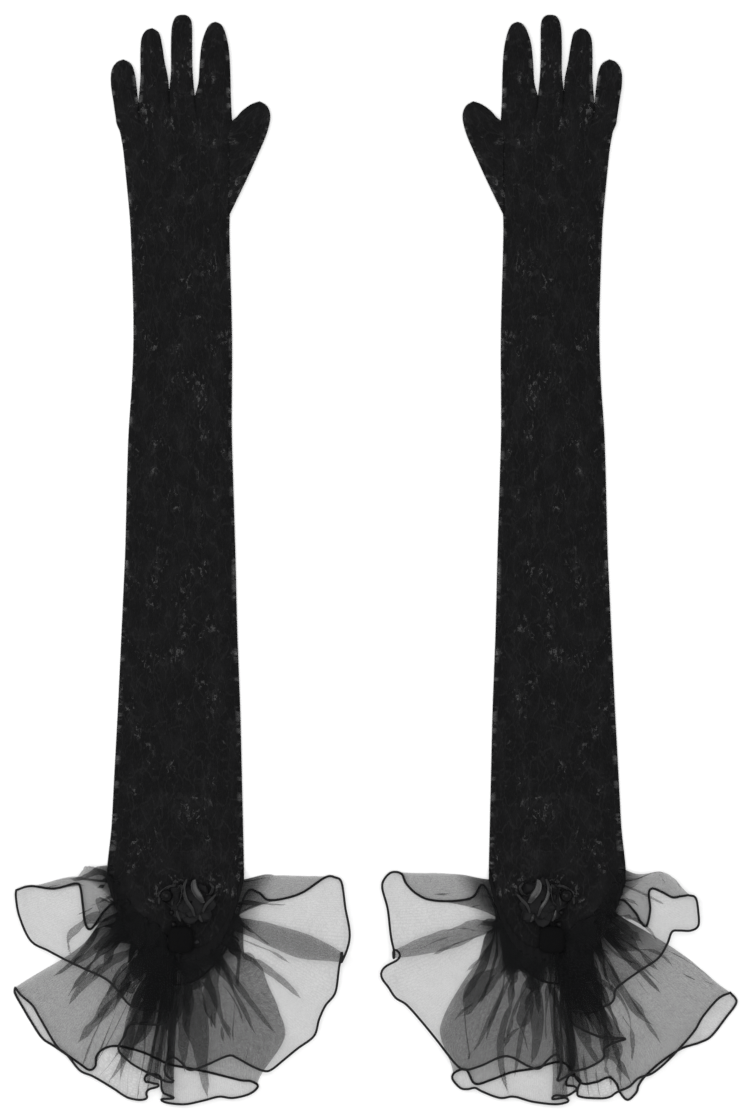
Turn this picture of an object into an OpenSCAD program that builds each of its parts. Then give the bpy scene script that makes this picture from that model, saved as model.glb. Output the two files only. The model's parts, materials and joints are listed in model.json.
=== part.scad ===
// A pair of long lace evening gloves, lying palm down side by side.
// Each glove is a lace hand and sleeve, a gathered two-tier ruffle at the upper-arm end, and a
// ribbon rosette with a bead where the ruffle is sewn on.
// Millimetres. +Y runs from ruffle to fingertips, +Z is up, z = 0 is the surface they rest on.
// Each glove is drawn in its own frame: x = 0 is its long axis and its thumb is on the +x side.

/* [Pair] */
// Distance between the long axes of the two gloves
axis_spacing = 297.6; // [290:0.8:420]
// Sideways place of the middle between the two axes
pair_shift = -6.85; // [-20:0.05:20]
// Lengthways place of the wrist lines
wrist_y = 271.5; // [240:0.5:300]

/* [Sleeve] */
// Length from wrist to elbow
forearm_length = 246; // [220:1:270]
// Length from elbow to the point of the upper end, on the back of the arm
upper_length = 338; // [300:1:360]
// How far the upper end rises from its point to its two sides
cuff_rise = 66; // [40:1:90]
// Height of the sleeve and hand as they lie
sleeve_height = 8; // [7:0.5:14]
// Thickness that stands for the lace
lace_thickness = 1; // [0.8:0.1:1.4]

/* [Fingers] */
// Height of the fingers and thumb as they lie
finger_height = 6.6; // [6:0.2:8]
// Clear gap left at every fold line between moving parts
fold_gap = 0.6; // [0.4:0.1:1]

/* [Ruffle] */
// Height of the upper tier at the seam where it is gathered
ruffle_height = 11.6; // [11:0.2:16]
// Thickness that stands for the ruffle cloth
ruffle_thickness = 0.8; // [0.6:0.1:1.2]
// Height of the ripples along the hems
ripple_height = 2.4; // [0:0.2:4]
// Number of ripples from one side of a tier to the other
ripple_count = 9; // [5:1:14]
// Radius of the cord rolled into each hem
cord_radius = 0.8; // [0.6:0.1:0.9]

/* [Rosette] */
// Across the whole flower of petals
rosette_width = 46; // [36:1:60]
// Number of petals in the outer ring
petal_count = 7; // [5:1:9]
// Thickness of one petal
petal_thickness = 2.6; // [2:0.2:4]
// Radius of the round bead
bead_radius = 5.6; // [4:0.2:8]

/* [Hidden] */
$fn = 48;

// Lengthways places that follow from the lengths
elbow_y = wrist_y - forearm_length;
cuff_point_y = elbow_y - upper_length;
cuff_side_y = cuff_point_y + cuff_rise;

// Width of the arm each side of the axis, by distance below the wrist: [distance, little side]
arm_little_side = [[0, 40], [40, 38], [104, 37.5], [200, 42], [264, 44], [328, 47], [392, 50],
    [456, 54], [518, 58.5]];
// The same on the thumb side
arm_thumb_side = [[0, 39], [104, 41.5], [200, 42], [264, 44], [392, 48], [518, 51]];
// Width of the hand each side of the axis, by distance above the wrist
hand_little_side = [[0, 40], [40, 43], [60, 45], [84, 51.5]];
hand_thumb_side = [[0, 39], [6, 41.4], [84, 41.4]];
// Line where the fingers leave the hand: [x, distance above the wrist]
knuckle_line = [[-52, 81], [-33.6, 93], [-9, 103], [11.6, 99], [41.4, 79]];

// Each finger: [base left x, base right x, tip centre x, tip width, tip distance above the wrist]
little = [-51, -34, -46, 19, 129.4];
ring = [-33.2, -9.4, -23.6, 17.6, 154.2];
middle = [-8.7, 11.3, 0.6, 17, 164.6];
index = [11.9, 39.8, 27, 22, 159];
// Thumb from tip to base: [upper point, lower point], above the wrist; the base is the sewn seam
thumb_rows = [
    [[58, 95.6], [64, 94.6]],
    [[53, 93.5], [68.5, 91]],
    [[48.5, 89], [70.6, 84]],
    [[45.6, 85], [71.2, 76]],
    [[43.8, 82], [69, 65]],
    [[43, 80.5], [63.5, 51]],
    [[42.4, 79.5], [54, 29]],
    [[42, 79], [42, 5]]
];
thumb_seam_x = 41.7;

// Hems from the little side round to the thumb side, measured from the middle of the upper end's sides
upper_hem_left = [[-112, -3], [-131, -24], [-120, -57], [-86, -77], [-52, -96], [-26, -116],
    [-8, -148], [36, -152], [70, -162], [104, -136], [124, -96], [133, -46], [122, -9]];
upper_hem_right = [[-98, -3], [-113.5, -22], [-112, -55], [-90, -80], [-52, -96], [-26, -116],
    [-8, -148], [36, -152], [70, -162], [104, -136], [124, -96], [133, -46], [122, -9]];
lower_hem_left = [[-84, -40], [-131.4, -94], [-115, -134], [-89, -154], [-54, -177], [-27, -185],
    [-6, -188.6], [28, -182], [61, -174], [82, -155], [101, -128], [114, -92], [98, -46]];
lower_hem_right = [[-90, -42], [-145, -106], [-126, -140], [-92, -158], [-54, -177], [-27, -185],
    [-6, -188.6], [28, -182], [61, -174], [82, -155], [101, -128], [114, -92], [98, -46]];

// Grid sizes of the lofted pieces
columns = 12;
arm_rows = 6;
finger_rows = 8;
ruffle_columns = 52;
ruffle_rows = 4;
cord_sides = 8;

// Places along the upper end: cloth lengths sewn one after another
band_width = 9;
elastic_width = 7;
// Heights of the stacked layers at the upper end
layer_gap = 0.2;
elastic_thickness = 0.5;
band_thickness = 0.9;
elastic_inset = 12;

// Bottom, side and top heights of the two nested ruffle tiers
upper_low = 0.1;
upper_high = ruffle_height;
upper_edge = lerp(upper_low, upper_high, 0.7);
lower_low = upper_low + 2 * cord_radius + 0.1;
lower_high = upper_high - 2 * cord_radius - 0.1;
lower_edge = lerp(lower_low, lower_high, 0.45);
// Share of a tier's width taken by its folded side
side_narrowing = 0.012;
// How far the lower tier's sides start inside those of the upper tier at the seam
lower_inset = 2.5;
// Distance from the middle of the upper end at which ripples begin
ripple_start = 60;

// Rosette place and the height of the cloth under it
rosette_x = 11;
rosette_y = cuff_point_y + 40;
rosette_z = sleeve_height + 0.4;
backing_thickness = 1.2;

function lerp(a, b, t) = a + (b - a) * t;
function clamp01(t) = max(0, min(1, t));

// Rises from the edges to a broad flat middle; u runs from -1 to 1 across the piece
function arch(u) = 1 - pow(abs(u), 4);

// Catmull-Rom curve through hand-placed points; t runs from 0 to 1
function curve(points, t) =
    let (
        spans = len(points) - 1,
        place = clamp01(t) * spans,
        i = min(floor(place), spans - 1),
        f = place - i,
        a = points[max(i - 1, 0)],
        b = points[i],
        c = points[i + 1],
        d = points[min(i + 2, spans)]
    )
    0.5 * (2 * b + (c - a) * f + (2 * a - 5 * b + 4 * c - d) * f * f
        + (3 * b - a - 3 * c + d) * f * f * f);

// Two triangles for four corners that run clockwise as seen from outside
function quad(a, b, c, d) = [[a, b, c], [a, c, d]];

// Closed thin solid between two grids; rows run towards -Y and columns towards +X
module sheet(top, bottom) {
    rows = len(top);
    cols = len(top[0]);
    low = rows * cols;
    last = (rows - 1) * cols;
    side = cols - 1;
    polyhedron(
        points = concat([for (r = top) each r], [for (r = bottom) each r]),
        faces = concat(
            [for (r = [0 : rows - 2]) for (c = [0 : cols - 2]) let (p = r * cols + c)
                each quad(p, p + 1, p + cols + 1, p + cols)],
            [for (r = [0 : rows - 2]) for (c = [0 : cols - 2]) let (p = low + r * cols + c)
                each quad(p, p + cols, p + cols + 1, p + 1)],
            [for (c = [0 : cols - 2]) each quad(c, low + c, low + c + 1, c + 1)],
            [for (c = [last : last + cols - 2]) each quad(c, c + 1, low + c + 1, low + c)],
            [for (r = [0 : rows - 2]) let (p = r * cols)
                each quad(p, p + cols, low + p + cols, low + p)],
            [for (r = [0 : rows - 2]) let (p = r * cols + side)
                each quad(p, low + p, low + p + cols, p + cols)]
        )
    );
}

// Closed solid between two stacks of rings; a closed tip caps the first ring of each stack
module ring_shell(outer, inner, closed_tip) {
    rows = len(outer);
    n = len(outer[0]);
    low = rows * n;
    last = (rows - 1) * n;
    polyhedron(
        points = concat([for (r = outer) each r], [for (r = inner) each r]),
        faces = concat(
            [for (r = [0 : rows - 2]) for (j = [0 : n - 1])
                let (a = r * n + j, b = r * n + (j + 1) % n) each quad(a, b, b + n, a + n)],
            [for (r = [0 : rows - 2]) for (j = [0 : n - 1])
                let (a = low + r * n + j, b = low + r * n + (j + 1) % n)
                    each quad(a, a + n, b + n, b)],
            [for (j = [0 : n - 1]) let (a = last + j, b = last + (j + 1) % n)
                each quad(a, b, low + b, low + a)],
            closed_tip
                ? concat(
                    [for (j = [1 : n - 2]) [0, j + 1, j]],
                    [for (j = [1 : n - 2]) [low, low + j, low + j + 1]])
                : [for (j = [0 : n - 1]) let (a = j, b = (j + 1) % n)
                    each quad(a, low + a, low + b, b)]
        )
    );
}

// Closed tube swept round a loop of centre points; outward holds a sideways direction for each
module loop_tube(path, outward, radius, sides) {
    n = len(path);
    rings = [for (i = [0 : n - 1])
        let (
            ahead = path[(i + 1) % n] - path[(i + n - 1) % n],
            along = ahead / norm(ahead),
            sideways = outward[i] - (outward[i] * along) * along,
            out = sideways / norm(sideways),
            up = cross(out, along)
        )
        [for (k = [0 : sides - 1]) let (angle = 360 * k / sides)
            path[i] + radius * (cos(angle) * out + sin(angle) * up)]];
    polyhedron(
        points = [for (r = rings) each r],
        faces = [for (i = [0 : n - 1]) for (k = [0 : sides - 1])
            let (
                a = i * sides + k,
                b = i * sides + (k + 1) % sides,
                c = ((i + 1) % n) * sides + (k + 1) % sides,
                d = ((i + 1) % n) * sides + k
            )
            each quad(a, b, c, d)]
    );
}

// Edge of the arm at height y on one side of the axis
function arm_edge(y, side) = side < 0
    ? -lookup(wrist_y - y, arm_little_side)
    : lookup(wrist_y - y, arm_thumb_side);
function hand_edge(y, side) = side < 0
    ? -lookup(y - wrist_y, hand_little_side)
    : lookup(y - wrist_y, hand_thumb_side);
function across(low, high, u) = lerp(low, high, (u + 1) / 2);

// The upper end of the sleeve: a deep U, lowest on the axis and highest at the two sides
function cuff_y(x) = cuff_point_y + cuff_rise
    * pow(abs(x) / (x < 0 ? -arm_edge(cuff_side_y, -1) : arm_edge(cuff_side_y, 1)), 3.2);

// Height of a lace panel at u, low at its sewn sides and high along its middle
function panel_height(u, low, high) = lerp(low, high, arch(u));

// Grid of the lower end of the sleeve, from the elbow fold to the U of the upper end
function upper_grid(edge_z, middle_z) = [for (r = [0 : arm_rows]) [for (c = [0 : columns])
    let (
        u = 2 * c / columns - 1,
        end_x = across(arm_edge(cuff_side_y, -1), arm_edge(cuff_side_y, 1), u),
        y = lerp(elbow_y - fold_gap / 2, cuff_y(end_x), r / arm_rows),
        x = across(arm_edge(max(y, cuff_side_y), -1), arm_edge(max(y, cuff_side_y), 1), u)
    )
    [x, y, panel_height(u, edge_z, middle_z)]]];

function forearm_grid(edge_z, middle_z) = [for (r = [0 : arm_rows]) [for (c = [0 : columns])
    let (
        u = 2 * c / columns - 1,
        y = lerp(wrist_y - fold_gap / 2, elbow_y + fold_gap / 2, r / arm_rows)
    )
    [across(arm_edge(y, -1), arm_edge(y, 1), u), y, panel_height(u, edge_z, middle_z)]]];

function hand_grid(edge_z, middle_z) = [for (r = [0 : arm_rows]) [for (c = [0 : columns])
    let (
        u = 2 * c / columns - 1,
        top_x = across(-51, 41.4, u),
        y = lerp(wrist_y + lookup(top_x, knuckle_line) - fold_gap / 2, wrist_y + fold_gap / 2,
            r / arm_rows)
    )
    [across(hand_edge(y, -1), hand_edge(y, 1), u), y, panel_height(u, edge_z, middle_z)]]];

module upper_back() {
    color([0.1, 0.1, 0.11])
        sheet(
            upper_grid(2 * lace_thickness, sleeve_height),
            upper_grid(lace_thickness, sleeve_height - lace_thickness));
}

module upper_front() {
    color([0.13, 0.13, 0.14])
        sheet(upper_grid(lace_thickness, lace_thickness), upper_grid(0, 0));
}

module forearm_back() {
    color([0.1, 0.1, 0.11])
        sheet(
            forearm_grid(2 * lace_thickness, sleeve_height),
            forearm_grid(lace_thickness, sleeve_height - lace_thickness));
}

module forearm_front() {
    color([0.13, 0.13, 0.14])
        sheet(forearm_grid(lace_thickness, lace_thickness), forearm_grid(0, 0));
}

module hand_back() {
    color([0.1, 0.1, 0.11])
        sheet(
            hand_grid(2 * lace_thickness, sleeve_height),
            hand_grid(lace_thickness, sleeve_height - lace_thickness));
}

module hand_palm() {
    color([0.13, 0.13, 0.14])
        sheet(hand_grid(lace_thickness, lace_thickness), hand_grid(0, 0));
}

// Flattened ring between two points: over the top from left to right, then back underneath
function finger_ring(left, right, low, high) =
    let (n = 8, edge = low + 0.3 * (high - low))
    concat(
        [for (i = [0 : n]) let (u = 2 * i / n - 1)
            [each lerp(left, right, i / n), lerp(edge, high, arch(u))]],
        [for (i = [n : -1 : 0]) [each lerp(left, right, i / n), low]]);

// Hollow finger of lace, closed at the tip; each row is [left point, right point, share of height]
module hollow_finger(rows, inset) {
    outer = [for (r = rows) finger_ring(r[0], r[1], lerp(finger_height / 2, 0, r[2]),
        lerp(finger_height / 2, finger_height, r[2]))];
    inner = [for (i = [0 : len(rows) - 1])
        let (
            r = rows[i],
            way = (r[1] - r[0]) / norm(r[1] - r[0]),
            pull = i == 0 ? 0.3 * norm(r[1] - r[0]) : min(inset, 0.3 * norm(r[1] - r[0])),
            left = r[0] + way * pull,
            right = r[1] - way * pull,
            low = lerp(finger_height / 2, 0, r[2]) + lace_thickness * clamp01(r[2] + 0.15),
            high = lerp(finger_height / 2, finger_height, r[2]) - lace_thickness
                * clamp01(r[2] + 0.15),
            back = i == 0 ? [0, -0.8, 0] : [0, 0, 0]
        )
        [for (p = finger_ring(left, right, low, high)) p + back]];
    ring_shell(outer, inner, true);
}

// Rows of a straight finger from its round tip to the slanting knuckle line
module straight_finger(spec) {
    tip_y = wrist_y + spec[4];
    tip_radius = spec[3] / 2;
    base_left_y = wrist_y + lookup(spec[0], knuckle_line) + fold_gap / 2;
    base_right_y = wrist_y + lookup(spec[1], knuckle_line) + fold_gap / 2;
    round_rows = [for (a = [16, 38, 62, 90])
        let (y = tip_y - tip_radius * 0.95 * (1 - cos(a)), half = tip_radius * sin(a))
        [[spec[2] - half, y], [spec[2] + half, y], 0.25 + 0.75 * sin(a)]];
    straight_rows = [for (i = [1 : finger_rows - 4])
        let (
            t = i / (finger_rows - 4),
            start_y = tip_y - tip_radius * 0.95,
            left = lerp([spec[2] - tip_radius, start_y], [spec[0], base_left_y], t),
            right = lerp([spec[2] + tip_radius, start_y], [spec[1], base_right_y], t)
        )
        [left, right, 1]];
    hollow_finger(concat(round_rows, straight_rows), lace_thickness);
}

module index_finger() {
    color([0.11, 0.11, 0.12]) straight_finger(index);
}

module middle_finger() {
    color([0.11, 0.11, 0.12]) straight_finger(middle);
}

module ring_finger() {
    color([0.11, 0.11, 0.12]) straight_finger(ring);
}

module little_finger() {
    color([0.11, 0.11, 0.12]) straight_finger(little);
}

module thumb() {
    rows = [for (i = [0 : len(thumb_rows) - 1]) let (r = thumb_rows[i])
        [[max(r[0].x, thumb_seam_x + fold_gap / 2), wrist_y + r[0].y],
            [max(r[1].x, thumb_seam_x + fold_gap / 2), wrist_y + r[1].y],
            i == 0 ? 0.3 : i == 1 ? 0.75 : 1]];
    color([0.11, 0.11, 0.12]) hollow_finger(rows, lace_thickness);
}

// Flattened ring near the upper end: past it when beyond is positive, narrowed by inset each side,
// from low up to high in the middle and up to edge_z at the two sides
function cuff_ring(beyond, inset, low, edge_z, high) =
    let (
        left = arm_edge(cuff_side_y, -1) + inset,
        right = arm_edge(cuff_side_y, 1) - inset
    )
    concat(
        [for (i = [0 : columns]) let (x = lerp(left, right, i / columns), u = 2 * i / columns - 1)
            [x, cuff_y(x) - beyond, lerp(edge_z, high, arch(u))]],
        [for (i = [columns : -1 : 0]) let (x = lerp(left, right, i / columns))
            [x, cuff_y(x) - beyond, low]]);

// Closed band between two distances past the upper end, with walls of the given thickness
module cuff_tube(from, to, inset, low, edge_z, high, wall) {
    ring_shell(
        [for (beyond = [from, to]) cuff_ring(beyond, inset, low, edge_z, high)],
        [for (beyond = [from, to])
            cuff_ring(beyond, inset + wall, low + wall, edge_z - wall, high - wall)],
        false);
}

// Band of cloth that binds the gathers, sewn on just past the end of the lace
module cuff_band() {
    color([0.06, 0.06, 0.07])
        cuff_tube(0.2, band_width, 0, layer_gap, sleeve_height / 2, sleeve_height,
            band_thickness);
}

// Flat elastic stitched inside the end of the sleeve, clear of its arched sides
module cuff_elastic() {
    low = lace_thickness + layer_gap;
    high = sleeve_height - lace_thickness - 2 * layer_gap;
    color([0.16, 0.16, 0.17])
        cuff_tube(-1 - elastic_width, -1, elastic_inset, low, lerp(low, high, 0.3), high,
            elastic_thickness);
}

// Ripples shared by both tiers, so that one stays under the other: none near the seam
function ripple(p) =
    let (away = norm([p.x, p.y - cuff_side_y]) - ripple_start)
    ripple_height * clamp01(away / ripple_start)
        * (0.5 - 0.5 * cos(ripple_count * atan2(p.y - cuff_side_y - ripple_start, p.x)));

// Place of a tier: a runs from the little side to the thumb side, t from seam to hem
function tier_place(hem, inset, a, t) =
    let (
        x = lerp(arm_edge(cuff_side_y, -1) + inset, arm_edge(cuff_side_y, 1) - inset, a),
        seam = [x, cuff_y(x) - band_width - 0.3],
        edge = curve(hem, a) + [0, cuff_side_y]
    )
    lerp(seam, edge, t);

// One ring of a tier at t, over the top and back underneath, narrowed at each side by a share
function tier_ring(hem, inset, t, narrow, low, edge_z, high) =
    let (n = ruffle_columns / 2)
    concat(
        [for (i = [0 : n])
            let (u = 2 * i / n - 1, p = tier_place(hem, inset, lerp(narrow, 1 - narrow, i / n), t))
            [p.x, p.y, lerp(edge_z, high, arch(u)) + ripple(p)]],
        [for (i = [n : -1 : 0])
            let (p = tier_place(hem, inset, lerp(narrow, 1 - narrow, i / n), t))
            [p.x, p.y, low]]);

module tier(hem, inset, low, edge_z, high) {
    thick = ruffle_thickness;
    shares = [for (r = [0 : ruffle_rows]) r / ruffle_rows];
    ring_shell(
        [for (t = shares) tier_ring(hem, inset, t, 0, low, edge_z, high)],
        [for (t = shares)
            tier_ring(hem, inset, t, side_narrowing, low + thick, edge_z - thick, high - thick)],
        false);
}

module ruffle_upper(hem) {
    color([0.2, 0.2, 0.21]) tier(hem, 0, upper_low, upper_edge, upper_high);
}

module ruffle_lower(hem) {
    color([0.24, 0.24, 0.25]) tier(hem, lower_inset, lower_low, lower_edge, lower_high);
}

// Cord rolled into the hem of a tier, all the way round the opening
module hem_cord(hem, inset, low, edge_z, high) {
    n = ruffle_columns / 2;
    centre_drop = ruffle_thickness / 2;
    over = [for (i = [0 : n]) let (p = tier_place(hem, inset, i / n, 1), u = 2 * i / n - 1)
        [p.x, p.y, lerp(edge_z, high, arch(u)) + ripple(p) - centre_drop]];
    under = [for (i = [n : -1 : 0]) let (p = tier_place(hem, inset, i / n, 1))
        [p.x, p.y, low + cord_radius]];
    outward = [for (i = concat([for (k = [0 : n]) k], [for (k = [n : -1 : 0]) k]))
        let (way = tier_place(hem, inset, i / n, 1) - tier_place(hem, inset, i / n, 0.8))
        [way.x, way.y, 0]];
    color([0.03, 0.03, 0.03])
        loop_tube(concat(over, under), outward, cord_radius, cord_sides);
}

module rosette_backing() {
    color([0.05, 0.05, 0.05])
        translate([rosette_x, rosette_y, rosette_z])
            cylinder(r = rosette_width * 0.3, h = backing_thickness);
}

// Leaf-shaped flat petal that starts at the origin and points along +Y
module petal(length, width) {
    linear_extrude(petal_thickness)
        polygon(concat(
            [for (a = [0 : 15 : 180]) [width / 2 * cos(a), length - width / 2 + width / 2 * sin(a)]],
            [[-width / 6, 0], [width / 6, 0]]));
}

module rosette_petals() {
    lift = rosette_z + backing_thickness;
    color([0.08, 0.08, 0.09])
        translate([rosette_x, rosette_y, lift])
            for (i = [0 : petal_count - 1])
                rotate(360 * i / petal_count)
                    translate([0, rosette_width * 0.12, 0])
                        petal(rosette_width * 0.38, rosette_width * 0.16);
}

// Three standing loops of ribbon side by side over the petals
module ribbon_loops() {
    lift = rosette_z + backing_thickness + petal_thickness;
    loop_length = rosette_width * 0.6;
    loop_width = rosette_width * 0.19;
    wall = 1;
    color([0.12, 0.12, 0.13])
        translate([rosette_x, rosette_y, lift])
            for (i = [-1, 0, 1])
                translate([i * loop_width * 1.12, 0, 0])
                    rotate(i * 5)
                        linear_extrude(4.5)
                            difference() {
                                loop_outline(loop_length, loop_width);
                                loop_outline(loop_length - 2 * wall, loop_width - 2 * wall);
                            }
}

module loop_outline(length, width) {
    square([width, length - width], center = true);
    for (end = [-1, 1])
        translate([0, end * (length - width) / 2])
            circle(d = width);
}

module bead() {
    color([0.02, 0.02, 0.02])
        translate([rosette_x - rosette_width / 2 - bead_radius * 0.6, rosette_y + 5.4,
            rosette_z + bead_radius])
            sphere(r = bead_radius);
}

// Knot of ribbon that tapers to a point below the flower
module ribbon_knot() {
    knot_radius = 5.4;
    knot_length = 24;
    color([0.05, 0.05, 0.05])
        translate([rosette_x - 9, rosette_y - rosette_width / 2 - 2, rosette_z + knot_radius])
            rotate([90, 0, 0])
                rotate_extrude()
                    polygon([[0, 0], [3.2, 0.6], [knot_radius, 6], [4.6, 12], [2.6, 18],
                        [0.6, knot_length], [0, knot_length]]);
}

module left_glove() {
    translate([pair_shift - axis_spacing / 2, 0, 0]) children();
}

module right_glove() {
    translate([pair_shift + axis_spacing / 2, 0, 0]) mirror([1, 0, 0]) children();
}

left_glove() upper_back();  // left_upper_back
left_glove() upper_front();  // left_upper_front
left_glove() forearm_back();  // left_forearm_back
left_glove() forearm_front();  // left_forearm_front
left_glove() hand_back();  // left_hand_back
left_glove() hand_palm();  // left_hand_palm
left_glove() index_finger();  // left_index_finger
left_glove() middle_finger();  // left_middle_finger
left_glove() ring_finger();  // left_ring_finger
left_glove() little_finger();  // left_little_finger
left_glove() thumb();  // left_thumb
left_glove() cuff_band();  // left_cuff_band
left_glove() cuff_elastic();  // left_cuff_elastic
left_glove() ruffle_upper(upper_hem_left);  // left_ruffle_upper
left_glove() ruffle_lower(lower_hem_left);  // left_ruffle_lower
left_glove() hem_cord(upper_hem_left, 0, upper_low, upper_edge, upper_high);  // left_hem_cord_upper
left_glove() hem_cord(lower_hem_left, lower_inset, lower_low, lower_edge, lower_high);  // left_hem_cord_lower
left_glove() rosette_backing();  // left_rosette_backing
left_glove() rosette_petals();  // left_rosette_petals
left_glove() ribbon_loops();  // left_ribbon_loops
left_glove() bead();  // left_bead
left_glove() ribbon_knot();  // left_ribbon_knot
right_glove() upper_back();  // right_upper_back
right_glove() upper_front();  // right_upper_front
right_glove() forearm_back();  // right_forearm_back
right_glove() forearm_front();  // right_forearm_front
right_glove() hand_back();  // right_hand_back
right_glove() hand_palm();  // right_hand_palm
right_glove() index_finger();  // right_index_finger
right_glove() middle_finger();  // right_middle_finger
right_glove() ring_finger();  // right_ring_finger
right_glove() little_finger();  // right_little_finger
right_glove() thumb();  // right_thumb
right_glove() cuff_band();  // right_cuff_band
right_glove() cuff_elastic();  // right_cuff_elastic
right_glove() ruffle_upper(upper_hem_right);  // right_ruffle_upper
right_glove() ruffle_lower(lower_hem_right);  // right_ruffle_lower
right_glove() hem_cord(upper_hem_right, 0, upper_low, upper_edge, upper_high);  // right_hem_cord_upper
right_glove() hem_cord(lower_hem_right, lower_inset, lower_low, lower_edge, lower_high);  // right_hem_cord_lower
right_glove() rosette_backing();  // right_rosette_backing
right_glove() rosette_petals();  // right_rosette_petals
right_glove() ribbon_loops();  // right_ribbon_loops
right_glove() bead();  // right_bead
right_glove() ribbon_knot();  // right_ribbon_knot
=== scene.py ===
"""A pair of long black lace evening gloves with ruffled, rosette-trimmed upper ends."""
import json
import logging
import math
from dataclasses import dataclass, field
from enum import Enum
from typing import Callable, Sequence

import bpy
import numpy as np
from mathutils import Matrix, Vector, noise


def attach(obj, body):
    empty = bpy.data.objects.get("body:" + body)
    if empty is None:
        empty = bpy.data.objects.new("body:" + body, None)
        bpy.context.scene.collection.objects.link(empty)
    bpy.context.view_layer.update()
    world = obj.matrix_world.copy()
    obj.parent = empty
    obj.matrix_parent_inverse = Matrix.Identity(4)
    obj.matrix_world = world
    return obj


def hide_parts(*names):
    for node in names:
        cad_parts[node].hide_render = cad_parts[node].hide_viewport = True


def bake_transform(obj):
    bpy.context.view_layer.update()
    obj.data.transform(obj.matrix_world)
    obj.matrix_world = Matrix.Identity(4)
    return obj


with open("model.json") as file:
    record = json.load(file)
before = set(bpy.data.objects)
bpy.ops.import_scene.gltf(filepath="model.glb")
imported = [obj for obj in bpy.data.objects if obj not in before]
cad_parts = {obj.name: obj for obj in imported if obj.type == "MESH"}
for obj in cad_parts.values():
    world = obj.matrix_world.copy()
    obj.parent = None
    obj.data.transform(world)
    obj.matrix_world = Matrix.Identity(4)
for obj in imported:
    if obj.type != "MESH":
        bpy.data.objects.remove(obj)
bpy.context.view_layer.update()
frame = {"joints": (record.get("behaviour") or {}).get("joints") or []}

LOG = logging.getLogger("opera_gloves")
MM = 0.001
Pair = tuple[float, float]
Rows = tuple[np.ndarray, np.ndarray]
HemPoint = tuple[float, float, float]


class Hand(Enum):
    """Which hand a glove is for; the value gives the side its thumb points to."""

    LEFT = 1
    RIGHT = -1

    @property
    def word(self) -> str:
        """The name that the hand's pieces and bodies begin with."""
        return self.name.lower()


# ---------------------------------------------------------------- shader maths


class Value:
    """A shader socket that takes part in Python arithmetic."""

    def __init__(self, graph: "Graph", socket: bpy.types.NodeSocket) -> None:
        """Wraps one output socket.

        Args:
            graph: the material graph that the socket belongs to.
            socket: the output socket.
        """
        self.graph = graph
        self.socket = socket

    def _math(self, operation: str, a: object, b: object = 0.0) -> "Value":
        """Adds one Math node.

        Args:
            operation: the Math node's operation.
            a: the first value or number.
            b: the second value or number.

        Returns:
            The node's result.
        """
        return self.graph.node("ShaderNodeMath", {"operation": operation}, {0: a, 1: b})

    def __add__(self, other: object) -> "Value":
        """self + other."""
        return self._math("ADD", self, other)

    def __radd__(self, other: object) -> "Value":
        """other + self."""
        return self._math("ADD", other, self)

    def __sub__(self, other: object) -> "Value":
        """self - other."""
        return self._math("SUBTRACT", self, other)

    def __rsub__(self, other: object) -> "Value":
        """other - self."""
        return self._math("SUBTRACT", other, self)

    def __mul__(self, other: object) -> "Value":
        """self * other."""
        return self._math("MULTIPLY", self, other)

    def __rmul__(self, other: object) -> "Value":
        """other * self."""
        return self._math("MULTIPLY", other, self)

    def __pow__(self, other: object) -> "Value":
        """self raised to other."""
        return self._math("POWER", self, other)

    def __abs__(self) -> "Value":
        """The size of self without its sign."""
        return self._math("ABSOLUTE", self)

    def sin(self) -> "Value":
        """The sine of self, in radians."""
        return self._math("SINE", self)

    def highest(self, other: object) -> "Value":
        """The larger of self and other."""
        return self._math("MAXIMUM", self, other)

    def lowest(self, other: object) -> "Value":
        """The smaller of self and other."""
        return self._math("MINIMUM", self, other)

    def step(self, low: float, high: float) -> "Value":
        """Rises smoothly from 0 to 1 as self goes from low to high.

        Args:
            low: the value at and below which the result is 0.
            high: the value at and above which the result is 1.

        Returns:
            The eased value.
        """
        settings = {"interpolation_type": "SMOOTHSTEP", "clamp": True}
        return self.graph.node("ShaderNodeMapRange", settings, {0: self, 1: low, 2: high})


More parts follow.
